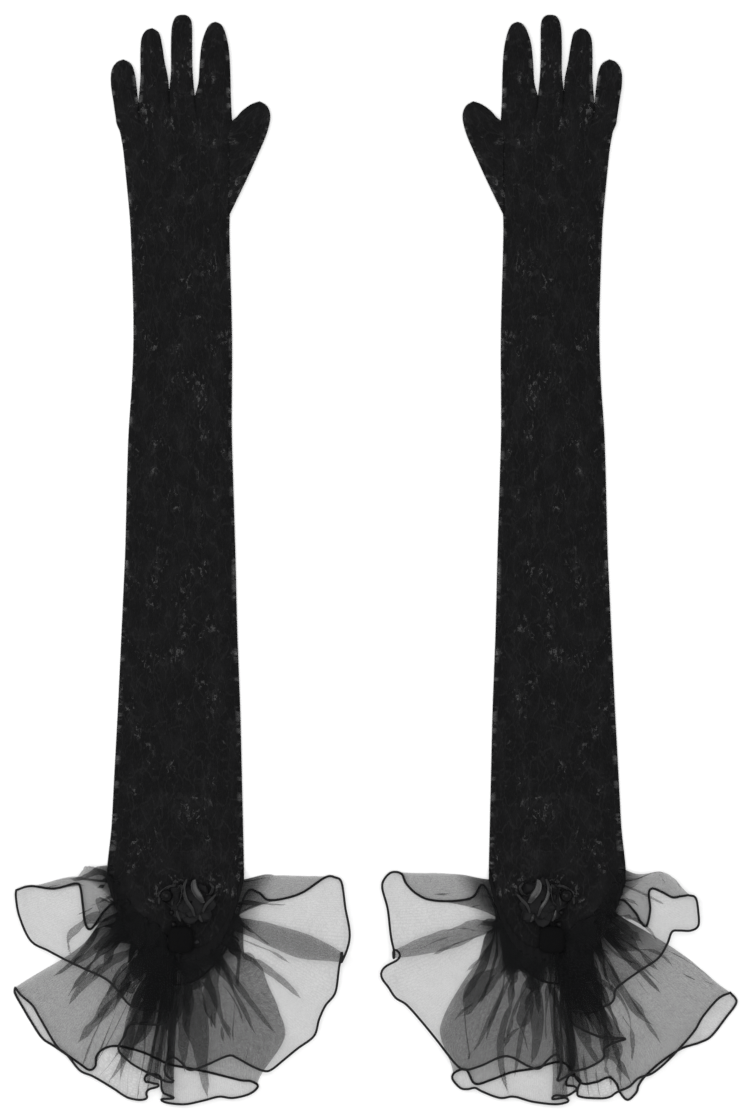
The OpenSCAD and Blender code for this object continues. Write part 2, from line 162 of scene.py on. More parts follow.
class Graph:
    """One material's node graph."""

    def __init__(self, name: str) -> None:
        """Starts an empty material with its output.

        Args:
            name: the material's name.
        """
        self.material = bpy.data.materials.new(name)
        self.material.use_nodes = True
        self.tree = self.material.node_tree
        self.tree.nodes.clear()

    def node(
        self, kind: str, settings: dict | None = None, inputs: dict | None = None, out: object = 0
    ) -> Value:
        """Adds a node of any type.

        Args:
            kind: the node's type name.
            settings: attributes set on the node before its sockets.
            inputs: values or links by socket name or number.
            out: the name or number of the output that is returned.

        Returns:
            The chosen output.
        """
        made = self.tree.nodes.new(kind)
        for key, value in (settings or {}).items():
            setattr(made, key, value)
        for key, value in (inputs or {}).items():
            if isinstance(value, Value):
                self.tree.links.new(value.socket, made.inputs[key])
            else:
                made.inputs[key].default_value = value
        return Value(self, made.outputs[out])

    def mix_colours(self, share: object, first: Sequence[float], second: object) -> Value:
        """Mixes two colours.

        Args:
            share: how much of the second colour, from 0 to 1.
            first: the first colour.
            second: the second colour, or a link to one.

        Returns:
            The mixed colour.
        """
        settings = {"data_type": "RGBA"}
        start = (*first, 1.0) if not isinstance(first, Value) else first
        end = (*second, 1.0) if not isinstance(second, Value) else second
        return self.node("ShaderNodeMix", settings, {0: share, 6: start, 7: end}, 2)

    def pattern_place(self, scale: Sequence[float]) -> Value:
        """The cloth's own flat coordinates in millimetres, stretched by scale.

        Args:
            scale: multiplier along and across the cloth.

        Returns:
            The scaled place.
        """
        flat = self.node("ShaderNodeUVMap", {"uv_map": "cloth"})
        factor = [value / MM for value in (*scale, 1.0)]
        return self.vector("MULTIPLY", flat, factor)

    def vector(self, operation: str, first: object, second: object) -> Value:
        """Adds a Vector Math node on two vectors."""
        return self.node("ShaderNodeVectorMath", {"operation": operation}, {0: first, 1: second})

    def part(self, vector: Value, axis: str) -> Value:
        """One coordinate of a vector: "X", "Y" or "Z"."""
        return self.node("ShaderNodeSeparateXYZ", {}, {0: vector}, axis)

    def cloud(self, place: Value, scale: float, detail: float, roughness: float = 0.5) -> Value:
        """Smooth noise from 0 to 1.

        Args:
            place: where it is read.
            scale: features for each unit of place.
            detail: how many finer layers it has.
            roughness: how strong the finer layers are.

        Returns:
            The noise.
        """
        inputs = {"Vector": place, "Scale": scale, "Detail": detail, "Roughness": roughness}
        return self.node("ShaderNodeTexNoise", {}, inputs)

    def cell_gap(self, place: Value, scale: float, randomness: float = 1.0) -> Value:
        """How far a place is from the nearest thread of an uneven net.

        Args:
            place: where it is read.
            scale: holes for each unit of place.
            randomness: how uneven the net is, from 0 to 1.

        Returns:
            The distance, as a share of a hole.
        """
        inputs = {"Vector": place, "Scale": scale, "Randomness": randomness}
        return self.node(
            "ShaderNodeTexVoronoi", {"feature": "DISTANCE_TO_EDGE"}, inputs, "Distance"
        )

    def bump(self, strength: float, depth_mm: float, height: Value) -> Value:
        """A Bump node's normal for a height, with its depth in millimetres."""
        inputs = {"Strength": strength, "Distance": depth_mm * MM, "Height": height}
        return self.node("ShaderNodeBump", {}, inputs)

    def finish(self, inputs: dict) -> bpy.types.Material:
        """Closes the graph with a Principled shader.

        Args:
            inputs: the shader's sockets by name.

        Returns:
            The finished material.
        """
        shader = self.node("ShaderNodeBsdfPrincipled", {}, inputs)
        output = self.tree.nodes.new("ShaderNodeOutputMaterial")
        self.tree.links.new(shader.socket, output.inputs["Surface"])
        return self.material


# ---------------------------------------------------------------- finishes


@dataclass(frozen=True)
class LaceFinish:
    """Dense stretch lace: flowers, leaves and fine stems, with a few open places where only the net
    remains, painted lighter as if light showed through them.
    """

    name: str = "black_stretch_lace"
    fold_pitch: float = 95.0
    thread: tuple[float, float, float] = (0.0034, 0.0034, 0.0037)
    glint: tuple[float, float, float] = (0.0125, 0.0125, 0.0132)
    # painted light: the net colour is a pale grey that stands in for the white floor seen through
    # the open net
    net: tuple[float, float, float] = (0.085, 0.085, 0.086)
    flower_pitch: float = 19.0
    petal_radius: float = 7.4
    net_pitch: float = 1.5
    drift: float = 9.0

    def build(self) -> bpy.types.Material:
        """Makes the material.

        Returns:
            The lace material.
        """
        g = Graph(self.name)
        place = self._drifting(g, g.pattern_place((1.0, 0.62)))
        flower, edge = self._flowers(g, place)
        stem = self._stems(g, place)
        clear = self._openings(g, place) * (1.0 - flower * 0.75) * (1.0 - stem * 0.8)
        specks = self._side_specks(g)
        gap = g.cell_gap(g.pattern_place((1.0, 0.8)), 1.0 / self.net_pitch, 0.6)
        mesh = 1.0 - gap.step(0.1, 0.2)
        cover = 0.995 - clear * (0.3 - 0.2 * mesh) - specks * 0.5
        tone = g.cloud(place, 0.07, 5.0, 0.62).step(0.4, 0.75)
        grain = g.cloud(g.pattern_place((1.3, 0.35)), 1.0, 3.0).step(0.35, 0.8)
        cord = edge.highest(stem)
        shine = (tone * 0.4 + grain * 0.35 + cord * grain * 0.4).lowest(1.0)
        colour = g.mix_colours(shine, self.thread, self.glint)
        # painted light: open places and side specks are tinted towards the pale grey, as if light
        # showed through them
        painted_light_share = (clear * (0.35 + 0.65 * mesh)).highest(specks * 1.6).lowest(1.6)
        colour = g.mix_colours(painted_light_share * 0.6, colour, self.net)
        height = flower * 0.35 + cord * 0.5 + grain * 0.4 - clear * 0.4
        return g.finish({
            "Base Color": colour, "Roughness": 0.8 - 0.2 * cord, "Alpha": cover,
            "Normal": g.bump(0.6, 0.35, height), "Specular IOR Level": 0.07,
        })

    def _drifting(self, g: Graph, place: Value) -> Value:
        """Bends the pattern so that no row of it is straight.

        Args:
            g: the graph.
            place: the cloth coordinates in millimetres.

        Returns:
            The bent coordinates.
        """
        drift = g.node(
            "ShaderNodeTexNoise", {}, {"Vector": place, "Scale": 0.12, "Detail": 3.0}, "Color"
        )
        drift = g.vector("MULTIPLY", g.vector("SUBTRACT", drift, [0.5] * 3), [self.drift] * 3)
        return g.vector("ADD", place, drift)

    def _flowers(self, g: Graph, place: Value) -> tuple[Value, Value]:
        """Six-petalled flowers, one to a cell, turned at random.

        Args:
            g: the graph.
            place: the cloth coordinates in millimetres.

        Returns:
            The flowers' solid shape and their raised outline.
        """
        cell = g.node(
            "ShaderNodeTexVoronoi", {}, {"Vector": place, "Scale": 1.0 / self.flower_pitch,
                                         "Randomness": 0.8}, "Position"
        )
        turn = g.node("ShaderNodeTexWhiteNoise", {}, {"Vector": cell}, "Value") * math.tau
        centre = g.vector("MULTIPLY", cell, [self.flower_pitch] * 3)
        away = g.vector("SUBTRACT", place, centre)
        x, y = g.part(away, "X"), g.part(away, "Y")
        radius = (x * x + y * y) ** 0.5
        angle = g.node("ShaderNodeMath", {"operation": "ARCTAN2"}, {0: y, 1: x}) + turn
        lobe = abs((angle * 3.0).sin())
        rim = self.petal_radius * (0.5 + 0.5 * lobe ** 0.6)
        inside = (rim - radius).step(-0.2, 0.3)
        outline = 1.0 - abs(rim - radius - 0.4).step(0.15, 0.5)
        return inside, outline

    def _stems(self, g: Graph, place: Value) -> Value:
        """Fine winding stems between the flowers.

        Args:
            g: the graph.
            place: the cloth coordinates in millimetres.

        Returns:
            How much of the cloth the stems cover.
        """
        slim = g.vector("MULTIPLY", place, (1.7, 0.8, 1.0))
        return 1.0 - g.cell_gap(slim, 0.09).step(0.025, 0.055)

    def _openings(self, g: Graph, place: Value) -> Value:
        """Clusters of open net, longer along the arm than across it.

        Args:
            g: the graph.
            place: the bent cloth coordinates in millimetres.

        Returns:
            How open the cloth is.
        """
        wide = g.cloud(place, 0.052, 1.0).step(0.54, 0.66)
        small = g.cloud(place, 0.3, 3.0, 0.6).step(0.53, 0.64)
        rare = g.cloud(place, 0.2, 4.0, 0.7).step(0.64, 0.72)
        return (small * (0.03 + 0.97 * wide)).highest(rare * 0.55)

    def _side_specks(self, g: Graph) -> Value:
        """Open places along the side folds, where the pattern is cut through; build also paints
        them lighter, as painted light showing through.

        Args:
            g: the graph.

        Returns:
            How open the cloth is.
        """
        x = g.part(g.pattern_place((1.0, 1.0)), "X")
        away = g.node("ShaderNodeMath", {"operation": "PINGPONG"}, {0: x, 1: self.fold_pitch / 2})
        run = g.cloud(g.pattern_place((0.03, 0.085)), 1.0, 4.0, 0.7).step(0.5, 0.62)
        return run * (1.0 - away.step(1.0, 4.2))


@dataclass(frozen=True)
class TulleFinish:
    """Sheer black tulle: a fine net, closer near the seam where its gathers crowd together."""

    name: str = "sheer_black_tulle"
    thread: tuple[float, float, float] = (0.0042, 0.0044, 0.0048)
    cover: float = 0.255
    crowding: float = 0.34
    crowded_reach: float = 60.0
    net_pitch: float = 1.7

    def build(self) -> bpy.types.Material:
        """Makes the material.

        Returns:
            The tulle material.
        """
        g = Graph(self.name)
        flat = g.pattern_place((1.0, 1.0))
        thread = 1.0 - g.cell_gap(flat, 1.0 / self.net_pitch, 0.5).step(0.08, 0.26)
        cloud = g.cloud(g.pattern_place((0.05, 0.05)), 1.0, 3.0)
        crinkle = g.cloud(g.pattern_place((0.9, 0.16)), 1.0, 4.0, 0.65)
        crowded = 1.0 - g.part(flat, "Y").step(2.0, self.crowded_reach)
        cover = (
            self.cover - 0.05 + thread * 0.11 + (cloud - 0.5) * 0.08 + (crinkle - 0.5) * 0.24
            + crowded * self.crowding
        )
        colour = g.mix_colours(thread, self.thread, [1.2 * part for part in self.thread])
        return g.finish({
            "Base Color": colour, "Roughness": 0.75 - 0.1 * thread, "Alpha": cover,
            "Normal": g.bump(0.15, 0.1, thread), "Specular IOR Level": 0.08,
        })


@dataclass(frozen=True)
class ThreadFinish:
    """Overlocked thread wound over a hem cord, or ribs across a band of elastic."""

    name: str
    colour: tuple[float, float, float] = (0.0035, 0.0035, 0.0038)
    light: tuple[float, float, float] = (0.012, 0.012, 0.013)
    ribs_per_mm: float = 1.4
    roughness: float = 0.7

    def build(self) -> bpy.types.Material:
        """Makes the material.

        Returns:
            The thread material.
        """
        g = Graph(self.name)
        flat = g.pattern_place((1.0, 1.0))
        slant = g.part(flat, "X") + g.part(flat, "Y") * 0.35
        rib = abs((slant * (math.pi * self.ribs_per_mm)).sin())
        fuzz = g.cloud(flat, 2.6, 3.0)
        colour = g.mix_colours((rib * 0.6 + fuzz * 0.4), self.colour, self.light)
        bump = g.bump(0.7, 0.2, rib + fuzz * 0.4)
        return g.finish({
            "Base Color": colour, "Roughness": self.roughness - 0.15 * rib, "Normal": bump,
            "Specular IOR Level": 0.2,
        })


@dataclass(frozen=True)
class SatinFinish:
    """Black satin ribbon: a tight warp that catches light along the ribbon, and a painted highlight
    along its raised edge.
    """

    name: str = "black_satin"
    gloss: float = 0.22
    shine: float = 0.45
    # strength of the painted highlight along the ribbon's raised edge
    edging: float = 0.7
    deep: tuple[float, float, float] = (0.003, 0.003, 0.0033)
    bright: tuple[float, float, float] = (0.011, 0.011, 0.012)

    def build(self) -> bpy.types.Material:
        """Makes the material.

        Returns:
            The satin material.
        """
        g = Graph(self.name)
        flat = g.pattern_place((1.0, 1.0))
        warp = g.cloud(g.pattern_place((0.25, 7.0)), 1.0, 3.0)
        weft = abs((g.part(flat, "X") * 9.0).sin())
        # painted highlight: a pale grey painted along the ribbon's raised edge, where it would
        # catch the light
        edge_highlight_share = 1.0 - g.part(flat, "Y").step(0.35, 0.8)
        colour = g.mix_colours(warp * 0.7 + weft * 0.15, self.deep, self.bright)
        colour = g.mix_colours(edge_highlight_share * self.edging, colour, (0.16, 0.16, 0.165))
        bump = g.bump(0.25, 0.08, warp + weft * 0.4)
        return g.finish({
            "Base Color": colour, "Roughness": self.gloss + 0.16 * warp, "Normal": bump,
            "Specular IOR Level": self.shine, "Anisotropic": 0.6,
        })


@dataclass(frozen=True)
class FeltFinish:
    """Matt black cloth with short fibres, for the backing disc, the knot and the binding."""

    name: str
    deep: tuple[float, float, float] = (0.0028, 0.0028, 0.003)
    light: tuple[float, float, float] = (0.009, 0.009, 0.0096)
    grain: float = 1.8

    def build(self) -> bpy.types.Material:
        """Makes the material.

        Returns:
            The felt material.
        """
        g = Graph(self.name)
        fibre = g.cloud(g.pattern_place((1.0, 0.45)), self.grain, 5.0, 0.65)
        colour = g.mix_colours(fibre, self.deep, self.light)
        bump = g.bump(0.6, 0.3, fibre)
        return g.finish({
            "Base Color": colour, "Roughness": 0.96 - 0.12 * fibre, "Normal": bump,
            "Specular IOR Level": 0.08,
        })


@dataclass(frozen=True)
class BeadFinish:
    """Smooth black bead with a low shine and faint dust."""

    name: str = "black_bead"

    def build(self) -> bpy.types.Material:
        """Makes the material.

        Returns:
            The bead material.
        """
        g = Graph(self.name)
        dust = g.cloud(g.pattern_place((1.0, 1.0)), 0.6, 3.0)
        colour = g.mix_colours(dust, (0.002, 0.002, 0.002), (0.007, 0.007, 0.0075))
        return g.finish({
            "Base Color": colour, "Roughness": 0.16 + 0.1 * dust, "Specular IOR Level": 0.08,
        })


@dataclass(frozen=True)
class FloorFinish:
    """Plain matt white studio floor."""

    name: str = "studio_floor"

    def build(self) -> bpy.types.Material:
        """Makes the material.

        Returns:
            The floor material.
        """
        g = Graph(self.name)
        return g.finish({
            "Base Color": (0.93, 0.93, 0.93, 1.0), "Roughness": 0.9, "Specular IOR Level": 0.1,
        })


@dataclass(frozen=True)
class Wardrobe:
    """The finished materials, shared by both gloves."""

    lace: bpy.types.Material
    finger_lace: bpy.types.Material
    tulle: bpy.types.Material
    hem_thread: bpy.types.Material
    elastic: bpy.types.Material
    satin: bpy.types.Material
    petal: bpy.types.Material
    felt: bpy.types.Material
    velvet: bpy.types.Material
    bead: bpy.types.Material

    @staticmethod
    def build() -> "Wardrobe":
        """Makes every cloth finish once.

        Returns:
            The set of materials.
        """
        return Wardrobe(
            lace=LaceFinish().build(),
            finger_lace=LaceFinish("black_stretch_lace_fingers", 23.75).build(),
            tulle=TulleFinish().build(),
            hem_thread=ThreadFinish("overlocked_hem_thread").build(),
            elastic=ThreadFinish(
                "ribbed_elastic", (0.006, 0.006, 0.0066), (0.02, 0.02, 0.022), 0.8, 0.8
            ).build(),
            satin=SatinFinish().build(),
            petal=SatinFinish("dull_black_satin", 0.46, 0.1, 0.0).build(),
            felt=FeltFinish("matt_black_felt").build(),
            velvet=FeltFinish(
                "black_velvet", (0.0012, 0.0012, 0.0013), (0.0036, 0.0036, 0.004), 2.4
            ).build(),
            bead=BeadFinish().build(),
        )


# ---------------------------------------------------------------- geometry helpers


def ease(t: np.ndarray) -> np.ndarray:
    """Smoothstep of t held between 0 and 1."""
    t = np.clip(t, 0.0, 1.0)
    return t * t * (3.0 - 2.0 * t)


def soft_lookup(points: Sequence[Pair], at: np.ndarray) -> np.ndarray:
    """Reads a listed profile with its corners rounded off.

    Args:
        points: rising positions, each with its value.
        at: the positions to read.

    Returns:
        The profile's values there.
    """
    keys = np.array([p[0] for p in points], float)
    values = np.array([p[1] for p in points], float)
    fine = np.linspace(keys[0], keys[-1], 401)
    window = np.hanning(31)
    window /= window.sum()
    padded = np.pad(np.interp(fine, keys, values), 15, mode="edge")
    return np.interp(at, fine, np.convolve(padded, window, mode="valid"))


def spline(points: np.ndarray, count: int) -> np.ndarray:
    """A Catmull-Rom curve through points, sampled evenly by length.

    Args:
        points: the control points, one a row; the first two or three columns are a place.
        count: how many samples to return.

    Returns:
        The samples, with as many columns as the control points.
    """
    held = np.vstack([2 * points[0] - points[1], points, 2 * points[-1] - points[-2]])
    steps = np.linspace(0.0, 1.0, 24, endpoint=False)[:, None]
    parts = []
    for a, b, c, d in zip(held, held[1:], held[2:], held[3:]):
        parts.append(0.5 * (
            2 * b + (c - a) * steps + (2 * a - 5 * b + 4 * c - d) * steps ** 2
            + (3 * b - a - 3 * c + d) * steps ** 3
        ))
    dense = np.vstack([*parts, points[-1:]])
    run = np.concatenate([[0.0], np.cumsum(np.linalg.norm(np.diff(dense[:, :3], axis=0), axis=1))])
    even = np.linspace(0.0, run[-1], count)
    return np.column_stack([np.interp(even, run, column) for column in dense.T])


def roughly(x: np.ndarray, y: np.ndarray, seed: float) -> np.ndarray:
    """Smooth random heights between about -1 and 1.

    Args:
        x: first coordinate, in feature widths.
        y: second coordinate, in feature widths.
        seed: picks a different field.

    Returns:
        One height for each pair, in the shape of x.
    """
    flat = [
        noise.noise(Vector((a, b, seed))) for a, b in zip(np.ravel(x), np.ravel(y + 0.0 * x))
    ]
    return np.array(flat).reshape(np.shape(x))


@dataclass(frozen=True)
class GloveFrame:
    """Places one glove and names its pieces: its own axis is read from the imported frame."""

    hand: Hand
    axis_x: float

    @staticmethod
    def read(hand: Hand) -> "GloveFrame":
        """Reads a glove's place from its elbow joint.

        Args:
            hand: which glove.

        Returns:
            The glove's frame, in millimetres.
        """
        elbow = next(j for j in frame["joints"] if j["name"] == f"{hand.word}_elbow_fold")
        return GloveFrame(hand, elbow["pos_m"][0] / MM)

    def world(self, points: np.ndarray) -> np.ndarray:
        """Turns the glove's own millimetres into the row frame's metres.

        Args:
            points: places with the thumb on the +x side, one a row.

        Returns:
            The same places in the row frame.
        """
        out = np.array(points, float).reshape(-1, 3)
        out[:, 0] = self.axis_x + self.hand.value * out[:, 0]
        return out * MM

    def cuff_y(self, x: np.ndarray) -> np.ndarray:
        """The lengthways place of the lace's cut end, a deep U across the arm."""
        half = np.where(x < 0, 58.8, 51.2)
        return -312.5 + 66.0 * np.minimum(np.abs(x) / half, 1.0) ** 3.2

    def named(self, name: str) -> str:
        """A name with this glove's hand before it."""
        return f"{self.hand.word}_{name}"

    def spot(self, x: float, y: float) -> tuple[float, float, float]:
        """One place on the resting surface, in the row frame."""
        return tuple(float(value) for value in self.world(np.array([[x, y, 0.0]]))[0])

    def hinge_y(self, joint: str) -> float:
        """The lengthways place of one of this glove's hinges, in millimetres."""
        hinges = (j for j in frame["joints"] if j["name"] == self.named(joint))
        return next(hinges)["pos_m"][1] / MM

    def ride(self, made: bpy.types.Object, body: str, nodes: Sequence[str], slot: str
             ) -> bpy.types.Object:
        """Fixes a piece to one of this glove's bodies.

        Args:
            made: the piece.
            body: the body, without its hand.
            nodes: the CAD nodes that the piece stands for, without their hand.
            slot: not used.

        Returns:
            The same piece.
        """
        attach(made, self.named(body))
        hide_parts(*[self.named(node) for node in nodes])
        return made

    def bend(self, made: bpy.types.Object, bodies: tuple[str, str], ends: Sequence[Pair],
             nodes: Sequence[str], slot: str) -> bpy.types.Object:
        """Bakes a piece's placement into its mesh and hides the CAD nodes that it stands for.

        Args:
            made: the piece.
            bodies: the two bodies, without their hand.
            ends: where the bend starts and where it ends.
            nodes: the CAD nodes that the piece stands for, without their hand.
            slot: not used.

        Returns:
            The same piece.
        """
        start, end = (self.spot(*place) for place in ends)
        [self.named(body) for body in bodies]
        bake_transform(made)
        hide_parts(*[self.named(node) for node in nodes])
        return made


@dataclass
class Cloth:
    """A mesh under construction: points, faces and the cloth's flat coordinates."""

    place: GloveFrame
    points: list[np.ndarray] = field(default_factory=list)
    flat: list[np.ndarray] = field(default_factory=list)
    faces: list[tuple[int, ...]] = field(default_factory=list)
    count: int = 0

    def grid(self, points: np.ndarray, flat: np.ndarray, closed: bool) -> int:
        """Adds a grid of quads.

        Args:
            points: rows by columns by 3, in the glove's millimetres.
            flat: rows by columns by 2, the cloth's flat coordinates in millimetres.
            closed: whether the last column joins the first.

        Returns:
            The number of the grid's first point.
        """
        rows, columns = points.shape[:2]
        start = self.count
        self.points.append(points.reshape(-1, 3))
        self.flat.append(flat.reshape(-1, 2))
        self.count += rows * columns
        for r in range(rows - 1):
            for c in range(columns if closed else columns - 1):
                a, b = start + r * columns + c, start + r * columns + (c + 1) % columns
                self.faces.append((a, b, b + columns, a + columns))
        return start

    def cap(self, ring: Sequence[int], point: np.ndarray, flat: np.ndarray,
            first: bool = False) -> None:
        """Closes a ring with a fan to one point.

        Args:
            ring: the ring's point numbers, in order.
            point: the fan's middle.
            flat: its flat coordinates.
            first: whether the ring is the first row of its grid and not the last.
        """
        ring = list(ring)[::-1] if first else list(ring)
        middle = self.count
        self.points.append(point.reshape(1, 3))
        self.flat.append(flat.reshape(1, 2))
        self.count += 1
        for a, b in zip(ring, [*ring[1:], ring[0]]):
            self.faces.append((a, b, middle))

    def build(self, name: str, material: bpy.types.Material) -> bpy.types.Object:
        """Makes the object, with its faces turned outwards for either hand.

        Args:
            name: the piece's name, without its hand.
            material: its finish.

        Returns:
            The new object.
        """
        name = self.place.named(name)
        mesh = bpy.data.meshes.new(name)
        faces = self.faces
        if self.place.hand is Hand.RIGHT:
            faces = [tuple(reversed(face)) for face in faces]
        mesh.from_pydata(self.place.world(np.vstack(self.points)).tolist(), [], faces)
        layer = mesh.uv_layers.new(name="cloth")
        corners = np.zeros(len(mesh.loops), int)
        mesh.loops.foreach_get("vertex_index", corners)
        layer.data.foreach_set("uv", (np.vstack(self.flat)[corners] * MM).ravel())
        mesh.polygons.foreach_set("use_smooth", [True] * len(mesh.polygons))
        mesh.materials.append(material)
        mesh.update()
        made = bpy.data.objects.new(name, mesh)
        bpy.context.scene.collection.objects.link(made)
        LOG.info("%s: %d points, %d faces", name, len(mesh.vertices), len(mesh.polygons))
        return made


def tube(cloth: Cloth, path: np.ndarray, radius: float, sides: int, closed: bool) -> None:
    """Adds a round cord along a path.

    Args:
        cloth: the mesh to add to.
        path: the cord's centre points, one a row, in millimetres.
        radius: the cord's radius.
        sides: how many sides the cord has.
        closed: whether the path is a loop.
    """
    ahead = np.roll(path, -1, 0) - np.roll(path, 1, 0)
    if not closed:
        ahead[0], ahead[-1] = path[1] - path[0], path[-1] - path[-2]
    ahead /= np.linalg.norm(ahead, axis=1, keepdims=True)
    out = np.cross(ahead, [0.0, 0.0, 1.0])
    out /= np.maximum(np.linalg.norm(out, axis=1, keepdims=True), 1e-6)
    up = np.cross(out, ahead)
    turn = np.linspace(0.0, math.tau, sides, endpoint=False)
    rings = path[:, None, :] + radius * (
        np.cos(turn)[None, :, None] * out[:, None, :] + np.sin(turn)[None, :, None] * up[:, None, :]
    )
    run = np.concatenate([[0.0], np.cumsum(np.linalg.norm(np.diff(path, axis=0), axis=1))])
    flat = np.stack(np.broadcast_arrays(run[:, None], radius * turn[None, :]), axis=-1)
    if closed:
        rings = np.concatenate([rings, rings[:1]])
        flat = np.concatenate([flat, flat[-1:] + [1.0, 0.0]])
    start = cloth.grid(rings, flat, True)
    if not closed:
        for row, tip in ((0, path[0]), (len(path) - 1, path[-1])):
            ring = [start + row * sides + k for k in range(sides)]
            cloth.cap(ring, tip, flat[row, 0], row == 0)


def fan(cloth: Cloth, across: Callable, rows: int, columns: int, height: Callable,
        floor: Callable, start_x: float = 0.0, width: float = 95.0) -> int:
    """Adds a flattened tube of cloth: a back layer and a palm layer sharing both side folds.

    Args:
        cloth: the mesh to add to.
        across: gives x and y at shares u (side to side) and v (along the tube).
        rows: rows of points along the tube.
        columns: intervals across one layer.
        height: gives the back layer's z at x, y, u and v.
        floor: gives the palm layer's z at x, y, u and v.
        start_x: the flat coordinate of the tube's first side fold.
        width: the flat distance from one side fold to the other, however the cloth stretches.

    Returns:
        The number of the first point.
    """
    v = np.linspace(0.0, 1.0, rows)[:, None]
    u = np.linspace(0.0, 1.0, columns + 1)[None, :]
    x, y = across(u, v)
    back = np.stack([x, y, height(x, y, u, v)], axis=-1)
    palm = np.stack([x, y, floor(x, y, u, v)], axis=-1)[:, -2:0:-1]
    share = (x - x[:, :1]) / (x[:, -1:] - x[:, :1])
    flat_back = np.stack([start_x + width * share, y], axis=-1)
    flat_palm = np.stack([start_x + width * (2.0 - share) + 190.0, y], axis=-1)
    points = np.concatenate([back, palm], axis=1)
    flat = np.concatenate([flat_back, flat_palm[:, -2:0:-1]], axis=1)
    return cloth.grid(points, flat, True)


@dataclass(frozen=True)
class FingerShape:
    """A finger's outline in the glove's millimetres."""

    name: str
    left: tuple[Pair, ...]
    tip: Pair
    right: tuple[Pair, ...]

    def outline(self, rows: int) -> tuple[np.ndarray, np.ndarray]:
        """The two sides of the finger from base to tip.

        Args:
            rows: how many places to return on each side.

        Returns:
            The left and right places.
        """
        sides = []
        for side in (self.left, self.right):
            run = spline(np.array([*side, self.tip], float), 4 * rows)
            share = np.linspace(0.0, 1.0, rows) ** 0.85 * (4 * rows - 1) * 0.992
            sides.append(np.column_stack([
                np.interp(share, np.arange(4 * rows), column) for column in run.T
            ]))
        return sides[0], sides[1]


FINGERS = (
    FingerShape(
        "little_finger",
        ((-51.5, 352.5), (-53.5, 366.0), (-55.5, 380.0), (-55.0, 391.0), (-51.0, 397.5)),
        (-45.5, 400.0), ((-33.6, 364.5), (-35.0, 379.0), (-36.5, 389.0), (-39.5, 396.5)),
    ),
    FingerShape(
        "ring_finger",
        ((-33.6, 364.5), (-32.0, 385.0), (-32.0, 405.0), (-31.0, 417.0), (-27.5, 423.0)),
        (-22.5, 425.0), ((-9.0, 374.5), (-10.0, 386.0), (-12.5, 398.0), (-14.5, 411.0),
                         (-17.0, 421.0)),
    ),
    FingerShape(
        "middle_finger",
        ((-9.0, 374.5), (-7.5, 390.0), (-7.5, 408.0), (-7.0, 424.0), (-5.0, 432.0),
         (-2.0, 435.0)),
        (2.0, 435.5), ((11.6, 370.5), (10.0, 388.0), (9.5, 405.0), (9.5, 424.0), (8.5, 431.5),
                       (5.5, 435.0)),
    ),
    FingerShape(
        "index_finger",
        ((11.6, 370.5), (14.5, 382.0), (15.5, 398.0), (17.0, 412.0), (20.0, 422.0),
         (23.5, 428.0)),
        (28.0, 430.0), ((41.4, 350.5), (40.5, 368.0), (40.0, 390.0), (39.0, 406.5),
                        (36.5, 419.5), (33.0, 427.5)),
    ),
)


